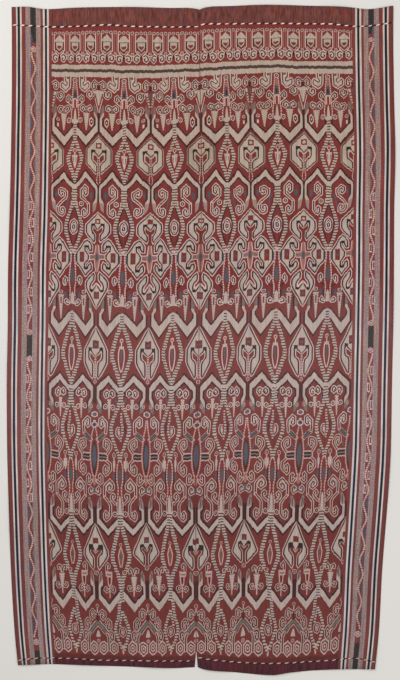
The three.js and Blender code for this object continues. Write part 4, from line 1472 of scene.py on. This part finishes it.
def seam_tree():
    """Whip stitches that cross the seam at a slant, each a short bent length of thread."""
    tree, given = new_tree("seam_stitches", ("Pitch", "Width", "Thickness"), ("Thread",))
    half, back, sunk, radius = (
        add(tree, "ShaderNodeMath", {0: given[size], 1: share}, operation="MULTIPLY").outputs["Value"]
        for size, share in (("Width", 0.5), ("Width", -0.5), ("Thickness", -0.9), ("Thickness", 0.5))
    )
    start = add(tree, "ShaderNodeCombineXYZ", {"Y": back, "Z": sunk}).outputs["Vector"]
    crown = add(tree, "ShaderNodeCombineXYZ", {"Z": given["Thickness"]}).outputs["Vector"]
    end = add(tree, "ShaderNodeCombineXYZ", {"Y": half, "Z": sunk}).outputs["Vector"]
    arch = add(tree, "GeometryNodeCurveQuadraticBezier", {"Resolution": 6, "Start": start, "Middle": crown,
                                                          "End": end})
    section = add(tree, "GeometryNodeCurvePrimitiveCircle", {"Resolution": 6, "Radius": radius})
    tube = add(tree, "GeometryNodeCurveToMesh", {"Curve": arch.outputs["Curve"],
                                                 "Profile Curve": section.outputs["Curve"],
                                                 "Fill Caps": True})
    copies = along_the_line(tree, given, tube.outputs["Mesh"], slant=0.35, seed=8, spread=0.15)
    whole = add(tree, "GeometryNodeRealizeInstances", {"Geometry": copies})
    sewn = add(tree, "GeometryNodeSetMaterial", {"Geometry": whole.outputs["Geometry"],
                                                 "Material": given["Thread"]})
    tree.links.new(sewn.outputs["Geometry"], tree.nodes.new("NodeGroupOutput").inputs["Result"])
    return tree


def grown(name, tree, line, values):
    """Runs a tree over a line of places in millimetres, and keeps its result as a plain mesh."""
    mesh = bpy.data.meshes.new(name + "_line")
    count = len(line)
    mesh.from_pydata(np.asarray(line) * MM, [(k, k + 1) for k in range(count - 1)], [])
    guide = bpy.data.objects.new(name + "_line", mesh)
    bpy.context.scene.collection.objects.link(guide)
    modifier = guide.modifiers.new(name, "NODES")
    modifier.node_group = tree
    sockets = {item.name: item.identifier for item in tree.interface.items_tree if item.in_out == "INPUT"}
    for key, value in values.items():
        modifier[sockets[key]] = value
    graph = bpy.context.evaluated_depsgraph_get()
    result = bpy.data.meshes.new_from_object(guide.evaluated_get(graph))
    result.name = name
    bpy.data.objects.remove(guide)
    piece = bpy.data.objects.new(name, result)
    bpy.context.scene.collection.objects.link(piece)
    return piece


def twining(name, panel, end, tree, pale, dark):
    """One row of weft twining over a panel, near its head or its foot edge."""
    row = HEAD_TWINING_ROW if end == "top" else FOOT_TWINING_ROW
    bundles = np.linspace(0, PANEL_BUNDLES, 240)
    x, y = panel.place(bundles, np.full_like(bundles, float(row)))
    z = lift(x, y) + CLOTH_THICK + TWINING_CLEARANCE + FLOAT_HEIGHT / 2
    line = np.stack([x, y, z], 1)
    margin = TWINING_MARGIN + FLOAT_PITCH / 2
    inside_edges = (x > x.min() + margin) & (x < x.max() - margin)
    line = line[inside_edges]
    if panel.side == "right":
        line = line[::-1]
    width = FLOAT_WIDTH if end == "top" else FOOT_FLOAT_WIDTH
    return grown(name, tree, line, {
        "Pitch": FLOAT_PITCH * MM, "Length": FLOAT_LENGTH * MM, "Width": width * MM,
        "Height": FLOAT_HEIGHT * MM, "Pale": pale, "Dark": dark,
    })


def seam_stitches(tree, thread):
    """The stitches that join the two panels, down to where the seam has come open."""
    y = np.linspace(SEAM[0][0] - FIRST_STITCH_GAP, STITCHES_END_Y, 300)
    x = smooth_read(SEAM, y)
    line = np.stack([x, y, lift(x, y) + CLOTH_THICK + STITCH_LIFT], 1)
    return grown("seam_stitches", tree, line, {
        "Pitch": STITCH_PITCH * MM, "Width": STITCH_WIDTH * MM, "Thickness": SEAM_THREAD * MM,
        "Thread": thread,
    })


def lay_floor():
    """A plain pale floor under the cloth."""
    mesh = bpy.data.meshes.new("floor")
    half = 6.0
    mesh.from_pydata([(-half, -half, 0), (half, -half, 0), (half, half, 0), (-half, half, 0)], [],
                     [(0, 1, 2, 3)])
    floor = bpy.data.objects.new("floor", mesh)
    bpy.context.scene.collection.objects.link(floor)
    material = bpy.data.materials.new("matt_pale_floor")
    material.use_nodes = True
    shader = material.node_tree.nodes["Principled BSDF"]
    shader.inputs["Base Color"].default_value = (*linear("DAD7D2"), 1)
    shader.inputs["Roughness"].default_value = 0.9
    mesh.materials.append(material)


def light_scene():
    """Soft light from above, a little stronger from the upper left."""
    world = bpy.data.worlds.new("studio")
    world.use_nodes = True
    world.node_tree.nodes["Background"].inputs["Color"].default_value = (1, 1, 1, 1)
    world.node_tree.nodes["Background"].inputs["Strength"].default_value = 0.55
    bpy.context.scene.world = world
    lamps = (("key", (-1.8, 2.2, 3.2), 2.5, 90), ("fill", (2.2, -1.5, 3.0), 3.0, 45))
    for name, place, size, power in lamps:
        light = bpy.data.lights.new(name, "AREA")
        light.size = size
        light.energy = power
        lamp = bpy.data.objects.new(name, light)
        lamp.location = place
        lamp.rotation_euler = Vector(place).to_track_quat("Z", "Y").to_euler()
        bpy.context.scene.collection.objects.link(lamp)


def aim_camera():
    """The camera straight over the cloth, framed as the photo is."""
    camera_height = 5.0
    camera = bpy.data.cameras.new("camera")
    camera.sensor_fit = "VERTICAL"
    camera.sensor_height = 24
    camera.lens = camera.sensor_height * camera_height / (PHOTO_SIZE[1] * BUNDLE * MM)
    eye = bpy.data.objects.new("camera", camera)
    eye.location = ((PHOTO_SIZE[0] / 2 - PHOTO_ORIGIN[0]) * BUNDLE * MM,
                    (PHOTO_ORIGIN[1] - PHOTO_SIZE[1] / 2) * BUNDLE * MM, camera_height)
    bpy.context.scene.collection.objects.link(eye)
    bpy.context.scene.camera = eye
    bpy.context.scene.view_settings.view_transform = "Standard"


lay_floor()
light_scene()
aim_camera()
cotton = ikat_cotton()
pale_yarns = {"top": yarn("undyed_twining_cotton", "E6C8BE"),
              "bottom": yarn("worn_twining_cotton", "C4A79C")}
dark_yarn = yarn("indigo_twining_cotton", "2A2024")
seam_thread = yarn("red_sewing_cotton", "5E3330")
float_tree = twining_tree()
for number, side in enumerate(("left", "right")):
    panel = Panel(side)
    for end in ("top", "bottom"):
        node = f"twine_{end}_{side}"
        floats = twining("floats_" + node, panel, end, float_tree, pale_yarns[end], dark_yarn)
        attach(floats, "root")
        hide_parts(node)
    cloth = cloth_mesh(panel, cotton, seed=11 + number)
    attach(cloth, "root")
    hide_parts("panel_" + side)
sewing = seam_stitches(seam_tree(), seam_thread)
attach(sewing, "root")
